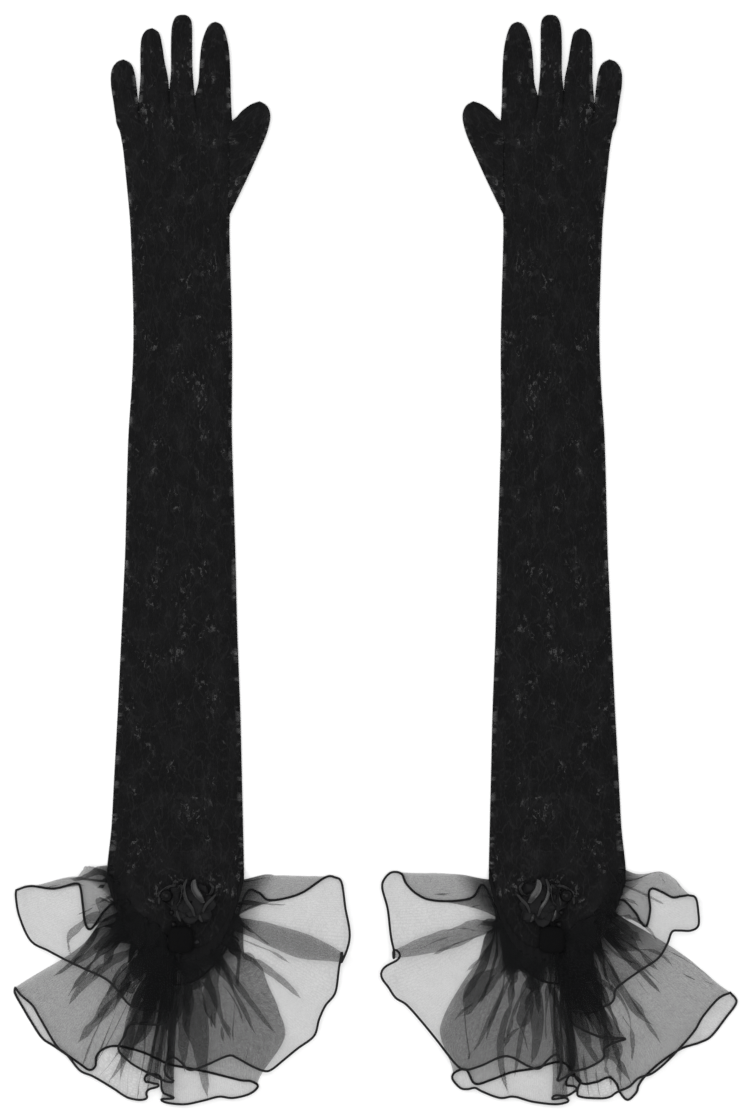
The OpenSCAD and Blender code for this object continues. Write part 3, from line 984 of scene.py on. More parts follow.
@dataclass
class LaceGlove:
    """The lace part of a glove: sleeve, hand, four fingers and thumb."""

    place: GloveFrame
    finish: Wardrobe
    depth: float = 5.0
    fold_z: float = 1.5
    columns: int = 48
    mid_forearm: float = 120.0
    mid_palm: float = 308.0
    elbow_bend: float = 46.0
    wrist_bend: float = 30.0
    finger_bend: float = 16.0
    thumb_bend: Pair = (41.7, 52.0)
    finger_flat: float = 23.75
    knuckles: tuple[Pair, ...] = (
        (-51.5, 352.5), (-33.6, 364.5), (-9.0, 374.5), (11.6, 370.5), (41.4, 350.5)
    )
    little_side: tuple[Pair, ...] = (
        (-322, -59.5), (-247, -59.0), (-217, -55.0), (-185, -53.5), (-121, -50.0), (-57, -47.0),
        (7, -44.0), (71, -42.5), (103, -41.5), (135, -39.0), (167, -37.5), (199, -37.5),
        (231, -38.5), (271, -40.0), (296, -42.5), (322, -45.0), (340, -47.0), (352.5, -51.5),
    )
    thumb_side: tuple[Pair, ...] = (
        (-322, 51.5), (-249, 51.0), (-185, 49.5), (-121, 48.0), (-57, 45.5), (7, 44.0),
        (71, 42.0), (103, 41.0), (167, 41.5), (199, 41.0), (231, 40.0), (271, 39.0), (290, 40.5),
        (322, 41.4), (352.5, 41.4),
    )
    thumb_upper: tuple[Pair, ...] = (
        (38.5, 349.5), (44.0, 353.0), (49.5, 359.0), (56.5, 364.0), (63.5, 366.5)
    )
    thumb_lower: tuple[Pair, ...] = (
        (38.0, 273.0), (53.0, 304.0), (62.0, 324.0), (69.0, 340.5), (72.0, 354.0), (69.5, 362.5),
        (63.5, 366.5),
    )

    def creases(self, x: np.ndarray, y: np.ndarray) -> np.ndarray:
        """Soft creases that cross the cloth, in millimetres of height."""
        seed = 3.0 if self.place.hand is Hand.LEFT else 17.0
        slant = y + 0.35 * x
        return (
            0.75 * roughly(x / 46.0, slant / 24.0, seed)
            + 0.4 * roughly(x / 17.0, slant / 9.0, seed + 5.0)
            + 0.16 * roughly(x / 5.0, y / 3.4, seed + 9.0)
        )

    def back_height(self, x: np.ndarray, y: np.ndarray, u: np.ndarray, v: np.ndarray
                    ) -> np.ndarray:
        """The back layer's height over the arm: a low pillow that rolls down to its folds."""
        rise = 1.0 - np.abs(2.0 * u - 1.0) ** 5.0
        return self.fold_z + (self.depth - self.fold_z + self.creases(x, y)) * rise ** 0.7

    def palm_height(self, x: np.ndarray, y: np.ndarray, u: np.ndarray, v: np.ndarray
                    ) -> np.ndarray:
        """The palm layer's height, resting just above the surface."""
        side = np.abs(2.0 * u - 1.0)
        return 0.35 + 0.25 * (1.0 + roughly(x / 20.0, y / 15.0, 2.0)) + (
            self.fold_z - 0.6
        ) * side ** 9.0

    def across_arm(self, u: np.ndarray, y: np.ndarray) -> np.ndarray:
        """The x of a share u across the arm at each y."""
        left, right = soft_lookup(self.little_side, y), soft_lookup(self.thumb_side, y)
        even = 0.5 - 0.5 * np.cos(math.pi * u)
        return left + (right - left) * (0.55 * u + 0.45 * even)

    def upper_sleeve(self) -> bpy.types.Object:
        """Builds the sleeve from its cut end to the middle of the forearm.

        Returns:
            The piece.
        """
        cloth = Cloth(self.place)

        def across(u: np.ndarray, v: np.ndarray) -> Rows:
            """x and y from the middle of the forearm to the cut end."""
            end = self.place.cuff_y(self.across_arm(u, np.full((1, 1), -247.0))) - 1.5
            y = self.mid_forearm + (end - self.mid_forearm) * v
            return self.across_arm(u, np.maximum(y, -260.0)), y

        fan(cloth, across, 132, self.columns, self.back_height, self.palm_height)
        cloth.faces = [tuple(reversed(face)) for face in cloth.faces]
        elbow = self.place.hinge_y("elbow_fold")
        made = self.place.bend(
            cloth.build("upper_sleeve", self.finish.lace), ("sleeve", "forearm"),
            ((0, elbow), (0, elbow + self.elbow_bend)), ("upper_back", "upper_front"), "lace_back",
        )
        return made

    def lower_sleeve(self) -> bpy.types.Object:
        """Builds the sleeve from the middle of the forearm to the middle of the palm.

        Returns:
            The piece.
        """
        cloth = Cloth(self.place)

        def across(u: np.ndarray, v: np.ndarray) -> Rows:
            """x and y from the middle of the forearm to the middle of the palm."""
            y = np.broadcast_to(
                self.mid_forearm + (self.mid_palm - self.mid_forearm) * v, (v.size, u.size)
            )
            return self.across_arm(u, y), y

        fan(cloth, across, 66, self.columns, self.back_height, self.palm_height)
        wrist = self.place.hinge_y("wrist_fold")
        made = self.place.bend(
            cloth.build("lower_sleeve", self.finish.lace), ("forearm", "hand"),
            ((0, wrist), (0, wrist + self.wrist_bend)), ("forearm_back", "forearm_front"),
            "lace_back",
        )
        return made

    def knuckle_row(self) -> tuple[np.ndarray, np.ndarray, np.ndarray]:
        """The shared row where the fingers leave the hand.

        Returns:
            The row's x, y and its place across each finger from 0 to 1.
        """
        each = self.columns // 4
        share = np.tile(np.arange(each) / each, 4)
        share = np.append(share, 1.0)
        x, y = [], []
        for (x0, y0), (x1, y1) in zip(self.knuckles, self.knuckles[1:]):
            step = 0.5 - 0.5 * np.cos(math.pi * np.arange(each) / each)
            x.append(x0 + (x1 - x0) * step)
            y.append(y0 + (y1 - y0) * step)
        end_x, end_y = self.knuckles[-1]
        return np.append(np.concatenate(x), end_x), np.append(np.concatenate(y), end_y), share

    def finger_height(self, share: np.ndarray) -> tuple[np.ndarray, np.ndarray]:
        """Heights of a finger's back and palm layers at a share across it."""
        dome = np.clip(4.0 * share * (1.0 - share), 0.0, 1.0)
        return self.fold_z + (self.depth - 0.4 - self.fold_z) * dome ** 0.45, 0.5 + (
            self.fold_z - 0.5
        ) * (1.0 - dome) ** 4.0

    def hand_shell(self) -> bpy.types.Object:
        """Builds the hand from the middle of the palm to the roots of the fingers.

        Returns:
            The piece, which rides on the hand.
        """
        cloth = Cloth(self.place)
        top_x, top_y, share = self.knuckle_row()
        dome, sole = self.finger_height(share)

        def across(u: np.ndarray, v: np.ndarray) -> Rows:
            """x and y from the middle of the palm to the knuckle row."""
            low = self.across_arm(u, np.full((1, 1), self.mid_palm))
            y = self.mid_palm + (top_y[None, :] - self.mid_palm) * v
            left, right = soft_lookup(self.little_side, y), soft_lookup(self.thumb_side, y)
            even = (low - low[:, :1]) / (low[:, -1:] - low[:, :1])
            knuckle = (top_x - top_x[0]) / (top_x[-1] - top_x[0])
            spread = even + (knuckle[None, :] - even) * ease(v)
            x = left + (right - left) * spread
            return x + (top_x[None, :] - x) * ease((v - 0.75) * 4.0), y

        def height(x: np.ndarray, y: np.ndarray, u: np.ndarray, v: np.ndarray) -> np.ndarray:
            """The arm's height, which turns into the fingers' near the knuckles."""
            arm = self.back_height(x, y, u, v)
            return arm + (dome[None, :] - arm) * ease((v - 0.55) / 0.45)

        def floor(x: np.ndarray, y: np.ndarray, u: np.ndarray, v: np.ndarray) -> np.ndarray:
            """The palm layer's height, which turns into the fingers' near the knuckles."""
            arm = self.palm_height(x, y, u, v)
            return arm + (sole[None, :] - arm) * ease((v - 0.55) / 0.45)

        fan(cloth, across, 26, self.columns, height, floor)
        made = self.place.ride(
            cloth.build("hand_shell", self.finish.lace), "hand", ("hand_back", "hand_palm"),
            "lace_palm_side",
        )
        return made

    def finger(self, number: int, shape: FingerShape) -> bpy.types.Object:
        """Builds one straight finger from the shared knuckle row to its tip.

        Args:
            number: the finger's place from the little side, from 0.
            shape: its outline.

        Returns:
            The piece.
        """
        cloth = Cloth(self.place)
        rows, each = 34, self.columns // 4
        left, right = shape.outline(rows)
        top_x, top_y, _ = self.knuckle_row()
        base = slice(number * each, number * each + each + 1)
        base_x, base_y = top_x[base], top_y[base]
        step = 0.5 - 0.5 * np.cos(math.pi * np.arange(each + 1) / each)
        share = np.arange(each + 1) / each
        seed = 31.0 + 7.0 * number + (0.0 if self.place.hand is Hand.LEFT else 4.0)

        def across(u: np.ndarray, v: np.ndarray) -> Rows:
            """x and y between the finger's two sides, from the knuckle row outwards."""
            x = left[:, :1] + (right[:, :1] - left[:, :1]) * step
            y = left[:, 1:] + (right[:, 1:] - left[:, 1:]) * step
            x[0], y[0] = base_x, base_y
            return x, y

        def height(x: np.ndarray, y: np.ndarray, u: np.ndarray, v: np.ndarray) -> np.ndarray:
            """A dome that gets lower towards the fingertip, a little uneven."""
            taper = 1.0 - 0.25 * v - 0.45 * np.clip((v - 0.86) / 0.14, 0.0, 1.0) ** 2
            dome = self.finger_height(share)[0] - self.fold_z
            rough = 0.5 * roughly(x / 9.0, y / 7.0, seed) * np.sin(math.pi * share) * ease(v * 8)
            return self.fold_z + dome * taper + rough

        def floor(x: np.ndarray, y: np.ndarray, u: np.ndarray, v: np.ndarray) -> np.ndarray:
            """The same palm side all along the finger."""
            return self.finger_height(share)[1] + 0.0 * v

        start = fan(cloth, across, rows, each, height, floor, self.finger_flat * number,
                    self.finger_flat)
        ring = [start + (rows - 1) * 2 * each + k for k in range(2 * each)]
        tip = np.array([*shape.tip, self.fold_z + 0.4])
        cloth.cap(ring, tip, np.array([self.finger_flat * (number + 0.5), shape.tip[1]]))
        made = cloth.build(f"{shape.name}_cloth", self.finish.finger_lace)
        hinge = self.place.hinge_y(f"{shape.name}_fold")
        return self.place.bend(
            made, ("hand", shape.name), ((0, hinge), (0, hinge + self.finger_bend)),
            (shape.name,), "lace_fingers",
        )

    def thumb(self) -> bpy.types.Object:
        """Builds the thumb, pleated where it is sewn to the side of the hand.

        Returns:
            The piece.
        """
        cloth = Cloth(self.place)
        rows, each = 44, 24
        along = np.linspace(0.0, 1.0, rows)
        tuck = np.where(along < 0.2, 0.13 * np.sin(along / 0.2 * math.tau) * (along < 0.2), 0.0)
        share = np.clip(along + tuck, 0.0, 0.994) * 199
        upper, lower = (
            np.column_stack([np.interp(share, np.arange(200), column) for column in run.T])
            for run in (spline(np.array(side, float), 200)
                        for side in (self.thumb_upper, self.thumb_lower))
        )
        step = 0.5 - 0.5 * np.cos(math.pi * np.arange(each + 1) / each)
        even = np.arange(each + 1) / each
        lift = 0.9 * np.clip(1.0 - along / 0.24, 0.0, 1.0)[:, None]

        def across(u: np.ndarray, v: np.ndarray) -> Rows:
            """x and y between the thumb's two sides, from its root outwards."""
            x = upper[:, :1] + (lower[:, :1] - upper[:, :1]) * step
            y = upper[:, 1:] + (lower[:, 1:] - upper[:, 1:]) * step
            return x, y

        def height(x: np.ndarray, y: np.ndarray, u: np.ndarray, v: np.ndarray) -> np.ndarray:
            """A dome pressed down where the root is pleated."""
            dome = self.finger_height(even)[0] - self.fold_z
            taper = 0.95 - 0.3 * v - 0.4 * np.clip((v - 0.85) / 0.15, 0.0, 1.0) ** 2
            return self.fold_z + dome * taper - lift * np.sin(math.pi * even) * 1.3 + (
                0.5 * roughly(x / 11.0, y / 8.0, 61.0) * np.sin(math.pi * even)
            )

        def floor(x: np.ndarray, y: np.ndarray, u: np.ndarray, v: np.ndarray) -> np.ndarray:
            """The palm side, lifted where the root is pleated."""
            return self.finger_height(even)[1] + 0.3 * lift

        start = fan(cloth, across, rows, each, height, floor, 20 * self.finger_flat,
                    self.finger_flat)
        ring = [start + (rows - 1) * 2 * each + k for k in range(2 * each)]
        tip_x, tip_y = self.thumb_upper[-1]
        cloth.cap(ring, np.array([tip_x, tip_y, self.fold_z + 0.4]), np.array([487.0, tip_y]))
        made = cloth.build("thumb_cloth", self.finish.finger_lace)
        ends = [(x, 310.0) for x in self.thumb_bend]
        return self.place.bend(made, ("hand", "thumb"), ends, ("thumb",), "lace_fingers")

    def build(self) -> list[bpy.types.Object]:
        """Builds every lace piece of the glove.

        Returns:
            The pieces.
        """
        pieces = [self.upper_sleeve(), self.lower_sleeve(), self.hand_shell(), self.thumb()]
        return pieces + [self.finger(number, shape) for number, shape in enumerate(FINGERS)]


# ---------------------------------------------------------------- ruffles


@dataclass(frozen=True)
class Fold:
    """A fold running from the seam out towards a place on the hem."""

    hem_place: Pair
    width: float
    strength: float
    reach: float
    lift: float = 1.0


@dataclass(frozen=True)
class Bulge:
    """A place round the cuff where the cloth swings out between seam and hem."""

    g: float
    spread: float
    out: Pair
    peak: float


@dataclass(frozen=True)
class TierShape:
    """A tier of ruffle: its hem, its heights, its folds and where it bulges."""

    name: str
    hem: tuple[HemPoint, ...]
    top: float
    under: float
    folds: tuple[Fold, ...]
    bulges: tuple[Bulge, ...]
    seed: int
    cut: Pair
    cut_area: float


@dataclass
class RuffleTier:
    """One gathered tier of tulle with a cord rolled into its hem."""

    place: GloveFrame
    finish: Wardrobe
    shape: TierShape
    columns: int = 780
    rows: int = 50
    cord_radius: float = 0.95
    wedge_folds: int = 52
    creases: int = 90
    small_waves: int = 64
    run_out: float = 130.0
    seam_run: float = 260.0

    def seam(self, g: np.ndarray) -> np.ndarray:
        """The gathered edge: over the back for g up to half, then back beneath.

        Args:
            g: places round the cuff from 0 to 1.

        Returns:
            Places on the cuff, one a row.
        """
        g = g % 1.0
        top = g < 0.5
        share = np.where(top, 2.0 * g, 2.0 - 2.0 * g)
        left, right = (-57.5, 50.0) if self.shape.name == "upper" else (-49.0, 41.0)
        x = left + (right - left) * share
        y = self.place.cuff_y(x) - 5.0
        over = np.where(top, ease(share / 0.06) * ease((0.62 - share) / 0.3), 0.0)
        y = y + over * (26.0 if self.shape.name == "upper" else 6.0)
        rise = np.sin(math.pi * share) ** 0.5
        z = np.where(top, 1.6 + 5.4 * rise, 1.6 - 1.0 * rise)
        return np.column_stack([x, y, z])

    def column(self, g: np.ndarray) -> np.ndarray:
        """How far each place round the cuff belongs to the one deep bundle of gathers.

        Args:
            g: places round the cuff from 0 to 1.

        Returns:
            Shares from 0 to 1.
        """
        return ease((g - 0.11) / 0.07) * ease((0.268 - g) / 0.018)

    def sway(self, s: np.ndarray, t: np.ndarray, hem: np.ndarray, length: float, g: np.ndarray
             ) -> tuple[np.ndarray, np.ndarray]:
        """Sideways and upward shift of the cloth in its folds.

        Args:
            s: places along the hem from 0 to 1, as one row.
            t: places from seam to hem, as one column.
            hem: the hem's places that go with s, one a row.
            length: the hem's length in millimetres.
            g: places round the cuff that go with s.

        Returns:
            The shift along the hem, as a share of its length, and the lift in millimetres.
        """
        rng = np.random.default_rng(self.shape.seed)
        shift = np.zeros((t.size, s.size))
        lift = np.zeros_like(shift)

        def add(centre: np.ndarray, width: np.ndarray, strength: np.ndarray, high: float
                ) -> None:
            """Adds one fold that draws the cloth towards a place along the hem."""
            away = (s - centre + 0.5) % 1.0 - 0.5
            u = away / (width / length)
            wave = u * np.exp(-0.5 * u * u)
            shift[:] -= strength * (width / length) * wave
            lift[:] += high * wave * np.minimum(strength, 1.5)

        order = np.argsort(g)
        for _ in range(self.wedge_folds):
            g_here = rng.uniform(0.0, 1.0)
            centre = np.interp(g_here, g[order], s.ravel()[order])
            crowd = 0.10 < g_here < 0.42
            reach = rng.uniform(0.6, 1.05) if crowd else rng.uniform(0.3, 0.7)
            drift = rng.normal(0.0, 0.028)
            left = np.clip(1.0 - t / reach, 0.0, 1.0)
            width = rng.uniform(3.5, 9.0) * left ** 0.9 + 0.6
            strength = rng.uniform(2.4, 4.6 if g_here < 0.55 else 3.2) * ease(left / 0.16)
            add(centre + drift * (1.0 - t) * t * 3.0, width, strength, rng.uniform(0.3, 0.8))
        for _ in range(self.creases):
            centre = rng.uniform(0.0, 1.0)
            begin = rng.uniform(0.1, 0.75)
            reach = rng.uniform(0.12, 0.4)
            inside = np.clip(1.0 - np.abs(t - begin) / reach, 0.0, 1.0)
            drift = rng.normal(0.0, 0.03)
            add(centre + drift * (t - begin), rng.uniform(1.6, 3.0),
                rng.uniform(0.8, 1.7) * inside ** 0.6, rng.uniform(0.15, 0.35))
        for fold in self.shape.folds:
            centre = s.ravel()[np.argmin(np.hypot(*(hem[:, :2] - fold.hem_place).T))]
            strength = fold.strength * np.clip(1.0 - t / fold.reach, 0.0, 1.0) ** 0.7
            add(np.full_like(t, centre), fold.width, strength, fold.lift)
        deep = self.column(g)[None, :]
        fine = (3.0 + 2.6 * deep) * np.clip(1.0 - t / (0.3 + 0.8 * deep), 0.0, 1.0) ** (
            1.3 - 0.6 * deep
        )
        turns = math.tau * self.small_waves
        phase = turns * s + 2.0 * roughly(s * 40.0, t * 0.0, self.shape.seed + 0.5)
        shift -= fine * np.sin(phase) / turns
        lift += 0.22 * fine * np.sin(phase)
        return shift, lift

    def surface(self) -> tuple[np.ndarray, np.ndarray]:
        """The tier's cloth.

        Returns:
            Its points, rows by columns by 3, and its flat coordinates. The flat run from seam to
            hem is stretched where few gathers crowd, so that the net looks sparser there.
        """
        table = np.array(self.shape.hem, float)
        closed = np.vstack([table, table[:1] + [0.0, 0.0, 1.0]])
        run = np.concatenate([[0.0], np.cumsum(np.hypot(*np.diff(closed[:, :2], axis=0).T))])
        smooth = spline(closed[:, :2], 8 * self.columns)
        smooth_run = np.concatenate([
            [0.0], np.cumsum(np.linalg.norm(np.diff(smooth, axis=0), axis=1))
        ])
        s = np.arange(self.columns) / self.columns
        hem = np.column_stack([
            np.interp(s * smooth_run[-1], smooth_run, column) for column in smooth.T
        ])
        g = np.interp(s * run[-1], run, closed[:, 2])
        top = ease((np.minimum(g % 1.0, 0.5 - g % 1.0) + 0.015) / 0.05)
        hem_z = self.shape.under + (self.shape.top - self.shape.under) * top
        hem_z = hem_z + 0.9 * roughly(s * 46.0, s * 0.0, self.shape.seed + 0.2)
        hem = np.column_stack([hem, np.maximum(hem_z, self.cord_radius + 0.1)])
        seam = self.seam(g)
        t = np.linspace(0.0, 1.0, self.rows)[:, None]
        base = seam[None] + (hem - seam)[None] * t[..., None]
        belly = np.sin(math.pi * t) * 1.8 * top[None, :]
        base[..., 2] += belly
        for bulge in self.shape.bulges:
            near = np.exp(-(((g - bulge.g + 0.5) % 1.0 - 0.5) / bulge.spread) ** 2)[None, :]
            rise = ease(t / bulge.peak) * ease((1.0 - t) / (1.0 - bulge.peak))
            base[..., 0] += bulge.out[0] * near * rise
            base[..., 1] += bulge.out[1] * near * rise
        shift, lift = self.sway(s[None, :], t, hem, run[-1], g)
        along = (np.roll(base, -1, 1) - np.roll(base, 1, 1)) * (self.columns / 2.0)
        kernel = np.hanning(9) / np.hanning(9).sum()
        for axis in range(2):
            padded = np.concatenate([along[:, -4:, axis], along[..., axis], along[:, :4, axis]], 1)
            along[..., axis] = np.apply_along_axis(
                lambda row: np.convolve(row, kernel, mode="valid"), 1, padded
            )
        size = np.linalg.norm(along[..., :2], axis=-1)
        limit = self.seam_run + (1.1 * run[-1] - self.seam_run) * t
        along = along * np.minimum(1.0, limit / np.maximum(size, 1.0))[..., None]
        base[..., :2] += along[..., :2] * shift[..., None]
        calm = np.clip((1.0 - t) / 0.08, 0.0, 1.0)
        base[..., 2] = np.maximum(base[..., 2] + lift * (0.25 + 0.75 * calm), 0.35)
        side = np.exp(-((((g + 0.25) % 0.5) - 0.25) / 0.055) ** 2)
        out = t * self.run_out * (2.4 - 1.6 * np.maximum(self.column(g), 0.75 * side)[None, :])
        flat = np.stack(np.broadcast_arrays(s[None, :] * run[-1], out), axis=-1)
        return base, flat

    def build(self) -> list[bpy.types.Object]:
        """Builds the tier's cloth and its hem cord.

        Returns:
            The two pieces.
        """
        name = self.shape.name
        points, flat = self.surface()
        cloth = Cloth(self.place)
        points = np.concatenate([points, points[:, :1]], axis=1)
        seam_flat = flat[:, :1] + [flat[0, -1, 0] + flat[0, 1, 0], 0.0]
        flat = np.concatenate([flat, seam_flat], axis=1)
        cloth.grid(points, flat, False)
        tulle = self.place.ride(
            cloth.build(f"tulle_{name}", self.finish.tulle), "sleeve", (f"ruffle_{name}",),
            f"organza_{name}",
        )
        rim = Cloth(self.place)
        tube(rim, points[-1, :-1], self.cord_radius, 8, True)
        cord = self.place.ride(
            rim.build(f"hem_{name}", self.finish.hem_thread), "sleeve", (f"hem_cord_{name}",),
            "hem_cord",
        )
        binding = self.place.named("gather_binding")
        return [tulle, cord]


UPPER_LEFT = TierShape(
    "upper",
    (
        (-131, -264, 0.010), (-131, -270, 0.020), (-128, -285, 0.040), (-119, -304, 0.060),
        (-105, -312, 0.080), (-90, -320, 0.100), (-75, -327, 0.120), (-60, -334, 0.145),
        (-52, -341, 0.165), (-45, -350, 0.185), (-37, -357, 0.205), (-24, -360, 0.225),
        (-9, -361, 0.240), (-10, -368, 0.244), (-18, -371, 0.246), (-33, -370, 0.248),
        (-41, -372, 0.250), (-45, -381, 0.252), (-49, -391, 0.254), (-41, -400, 0.256),
        (-32, -406, 0.258), (-12, -416, 0.266), (-5, -416, 0.270), (-11, -411, 0.273),
        (-12, -405, 0.276), (-9, -399, 0.280), (-5, -397, 0.284), (1, -401, 0.290),
        (7, -407, 0.300), (17, -405, 0.315), (38, -396, 0.345), (46, -398, 0.355),
        (57, -404, 0.370), (67, -408, 0.380), (73, -407, 0.385), (83, -399, 0.392),
        (94, -390, 0.400), (107, -380, 0.410), (111, -367, 0.418), (116, -356, 0.426),
        (123, -347, 0.434), (126, -332, 0.442), (128, -321, 0.450), (132, -311, 0.458),
        (135, -296, 0.466), (132, -278, 0.474), (129, -258, 0.490), (124, -254, 0.500),
        (116, -254, 0.508), (98, -266, 0.526), (83, -271, 0.538), (70, -272, 0.550),
        (62, -266, 0.565), (52, -268, 0.580), (36, -312, 0.640), (8, -338, 0.730),
        (-22, -332, 0.830), (-42, -290, 0.900), (-52, -276, 0.930), (-60, -280, 0.945),
        (-71, -295, 0.958), (-76, -291, 0.964), (-78, -276, 0.970), (-80, -262, 0.976),
        (-84, -259, 0.980), (-101, -263, 0.990), (-120, -261, 1.000),
    ),
    8.0, 1.6,
    (
        Fold((129.0, -318.0), 13.0, 4.4, 1.35, 1.2), Fold((-104.0, -313.0), 6.0, 1.8, 0.7),
        Fold((88.0, -394.0), 9.0, 4.6, 0.9, 1.0), Fold((72.0, -408.0), 8.0, 4.4, 0.95, 1.0),
        Fold((45.0, -398.0), 7.0, 4.2, 0.97, 1.0),
    ),
    (Bulge(0.004, 0.03, (-1.0, 5.0), 0.45), Bulge(0.5, 0.02, (2.0, 3.0), 0.3)),
    11,
    (1.0, 0.11),
    0.07,
)
LOWER_LEFT = TierShape(
    "lower",
    (
        (-132, -342, 0.010), (-127, -348, 0.030), (-118, -356, 0.055), (-112, -366, 0.080),
        (-99, -388, 0.120), (-90, -396, 0.140), (-80, -408, 0.160), (-69, -413, 0.175),
        (-54, -422, 0.195), (-41, -430, 0.210), (-28, -431, 0.225), (-26, -424, 0.230),
        (-17, -420, 0.235), (-28, -416, 0.238), (-25, -411, 0.241), (-16, -413, 0.244),
        (-14, -425, 0.250), (-5, -430, 0.256), (-15, -431, 0.262), (-10, -434, 0.270),
        (4, -435, 0.290), (19, -432, 0.320), (31, -429, 0.350), (42, -430, 0.380),
        (55, -427, 0.430), (62, -421, 0.490), (56, -417, 0.530), (47, -416, 0.560),
        (23, -410, 0.630), (8, -407, 0.680), (-10, -403, 0.730), (-30, -394, 0.790),
        (-50, -389, 0.840), (-61, -391, 0.870), (-67, -397, 0.890), (-68, -405, 0.905),
        (-73, -408, 0.920), (-82, -402, 0.935), (-101, -389, 0.960), (-110, -383, 0.970),
        (-117, -373, 0.980), (-126, -358, 0.990), (-132, -347, 1.000),
    ),
    4.6, 1.3,
    (
        Fold((-90.0, -396.0), 8.0, 4.2, 0.92, 0.8), Fold((-54.0, -422.0), 9.0, 4.4, 0.95, 0.8),
        Fold((-112.0, -366.0), 6.0, 2.4, 0.85, 0.6), Fold((20.0, -431.0), 4.5, 3.4, 0.8, 0.8),
    ),
    (Bulge(0.49, 0.05, (27.0, 8.0), 0.74), Bulge(0.004, 0.02, (-4.0, -7.0), 0.35)),
    23,
    (0.72, 0.17),
    0.088,
)
UPPER_RIGHT = TierShape(
    "upper",
    (
        (-108, -268, 0.010), (-114, -270, 0.016), (-116, -281, 0.030), (-116, -292, 0.045),
        (-110, -296, 0.055), (-101, -296, 0.070), (-95, -297, 0.080), (-91, -307, 0.095),
        (-84, -318, 0.110), (-71, -327, 0.130), (-58, -336, 0.150), (-50, -343, 0.165),
        (-48, -352, 0.180), (-42, -356, 0.195), (-31, -361, 0.215), (-14, -360, 0.238),
        (-15, -368, 0.242), (-22, -374, 0.245), (-38, -381, 0.248), (-48, -382, 0.250),
        (-58, -382, 0.252), (-48, -386, 0.254), (-41, -390, 0.256), (-40, -398, 0.258),
        (-29, -405, 0.262), (-16, -409, 0.266), (-4, -416, 0.270), (-6, -408, 0.273),
        (-6, -399, 0.276), (-2, -395, 0.280), (4, -399, 0.286), (11, -406, 0.296),
        (20, -404, 0.312), (33, -397, 0.330), (42, -397, 0.345), (58, -404, 0.365),
        (70, -407, 0.382), (78, -402, 0.390), (93, -383, 0.402), (106, -367, 0.412),
        (117, -355, 0.421), (125, -350, 0.428), (130, -343, 0.434), (135, -334, 0.441),
        (128, -323, 0.449), (128, -307, 0.458), (130, -294, 0.466), (132, -278, 0.474),
        (136, -263, 0.483), (135, -256, 0.490), (129, -250, 0.498), (121, -251, 0.506),
        (117, -259, 0.514), (109, -267, 0.522), (98, -272, 0.532), (80, -273, 0.544),
        (64, -270, 0.556), (56, -260, 0.570), (47, -276, 0.590), (30, -318, 0.650),
        (4, -338, 0.740), (-24, -330, 0.840), (-42, -288, 0.905), (-54, -272, 0.935),
        (-66, -282, 0.947), (-70, -289, 0.953), (-75, -293, 0.959), (-78, -280, 0.966),
        (-77, -267, 0.973), (-80, -263, 0.979), (-88, -266, 0.985), (-96, -270, 0.992),
        (-103, -269, 1.000),
    ),
    8.0, 1.6,
    (
        Fold((128.0, -314.0), 13.0, 4.4, 1.35, 1.2), Fold((92.0, -384.0), 9.0, 4.6, 0.9, 1.0),
        Fold((70.0, -407.0), 8.0, 4.4, 0.95, 1.0), Fold((42.0, -397.0), 7.0, 4.2, 0.97, 1.0),
    ),
    (Bulge(0.004, 0.03, (-6.0, 13.0), 0.5), Bulge(0.5, 0.02, (2.0, 3.0), 0.3)),
    37,
    (1.0, 0.11),
    0.07,
)
LOWER_RIGHT = TierShape(
    "lower",
    (
        (-142, -346, 0.010), (-132, -351, 0.030), (-120, -365, 0.055), (-112, -378, 0.080),
        (-94, -398, 0.120), (-80, -410, 0.145), (-69, -414, 0.160), (-61, -421, 0.175),
        (-52, -425, 0.190), (-42, -430, 0.205), (-22, -429, 0.225), (-20, -423, 0.230),
        (-22, -416, 0.235), (-14, -412, 0.238), (-11, -419, 0.242), (-19, -422, 0.246),
        (-12, -428, 0.250), (-2, -428, 0.254), (0, -431, 0.258), (-10, -430, 0.262),
        (-12, -433, 0.268), (-2, -435, 0.285), (16, -433, 0.315), (31, -429, 0.345),
        (42, -430, 0.375), (56, -425, 0.420), (62, -422, 0.450), (68, -423, 0.470),
        (74, -422, 0.480), (80, -415, 0.490), (78, -410, 0.500), (69, -408, 0.520),
        (62, -419, 0.535), (49, -416, 0.560), (33, -410, 0.600), (15, -407, 0.650),
        (-8, -402, 0.710), (-22, -418, 0.760), (-34, -418, 0.790), (-45, -414, 0.820),
        (-51, -419, 0.840), (-54, -426, 0.850), (-60, -432, 0.865), (-67, -426, 0.880),
        (-69, -420, 0.890), (-75, -412, 0.905), (-89, -400, 0.920), (-103, -391, 0.935),
        (-118, -386, 0.950), (-127, -381, 0.960), (-138, -367, 0.975), (-147, -354, 0.990),
    ),
    4.6, 1.3,
    (
        Fold((-95.0, -397.0), 8.0, 4.0, 0.92, 0.8), Fold((-60.0, -421.0), 9.0, 4.2, 0.95, 0.8),
        Fold((-118.0, -368.0), 6.0, 2.4, 0.9, 0.6), Fold((14.0, -433.0), 4.5, 3.4, 0.8, 0.8),
    ),
    (Bulge(0.49, 0.05, (20.0, 8.0), 0.74), Bulge(0.004, 0.02, (-2.0, 3.0), 0.5)),
    41,
    (0.72, 0.17),
    0.092,
)


# ---------------------------------------------------------------- cuff and rosette


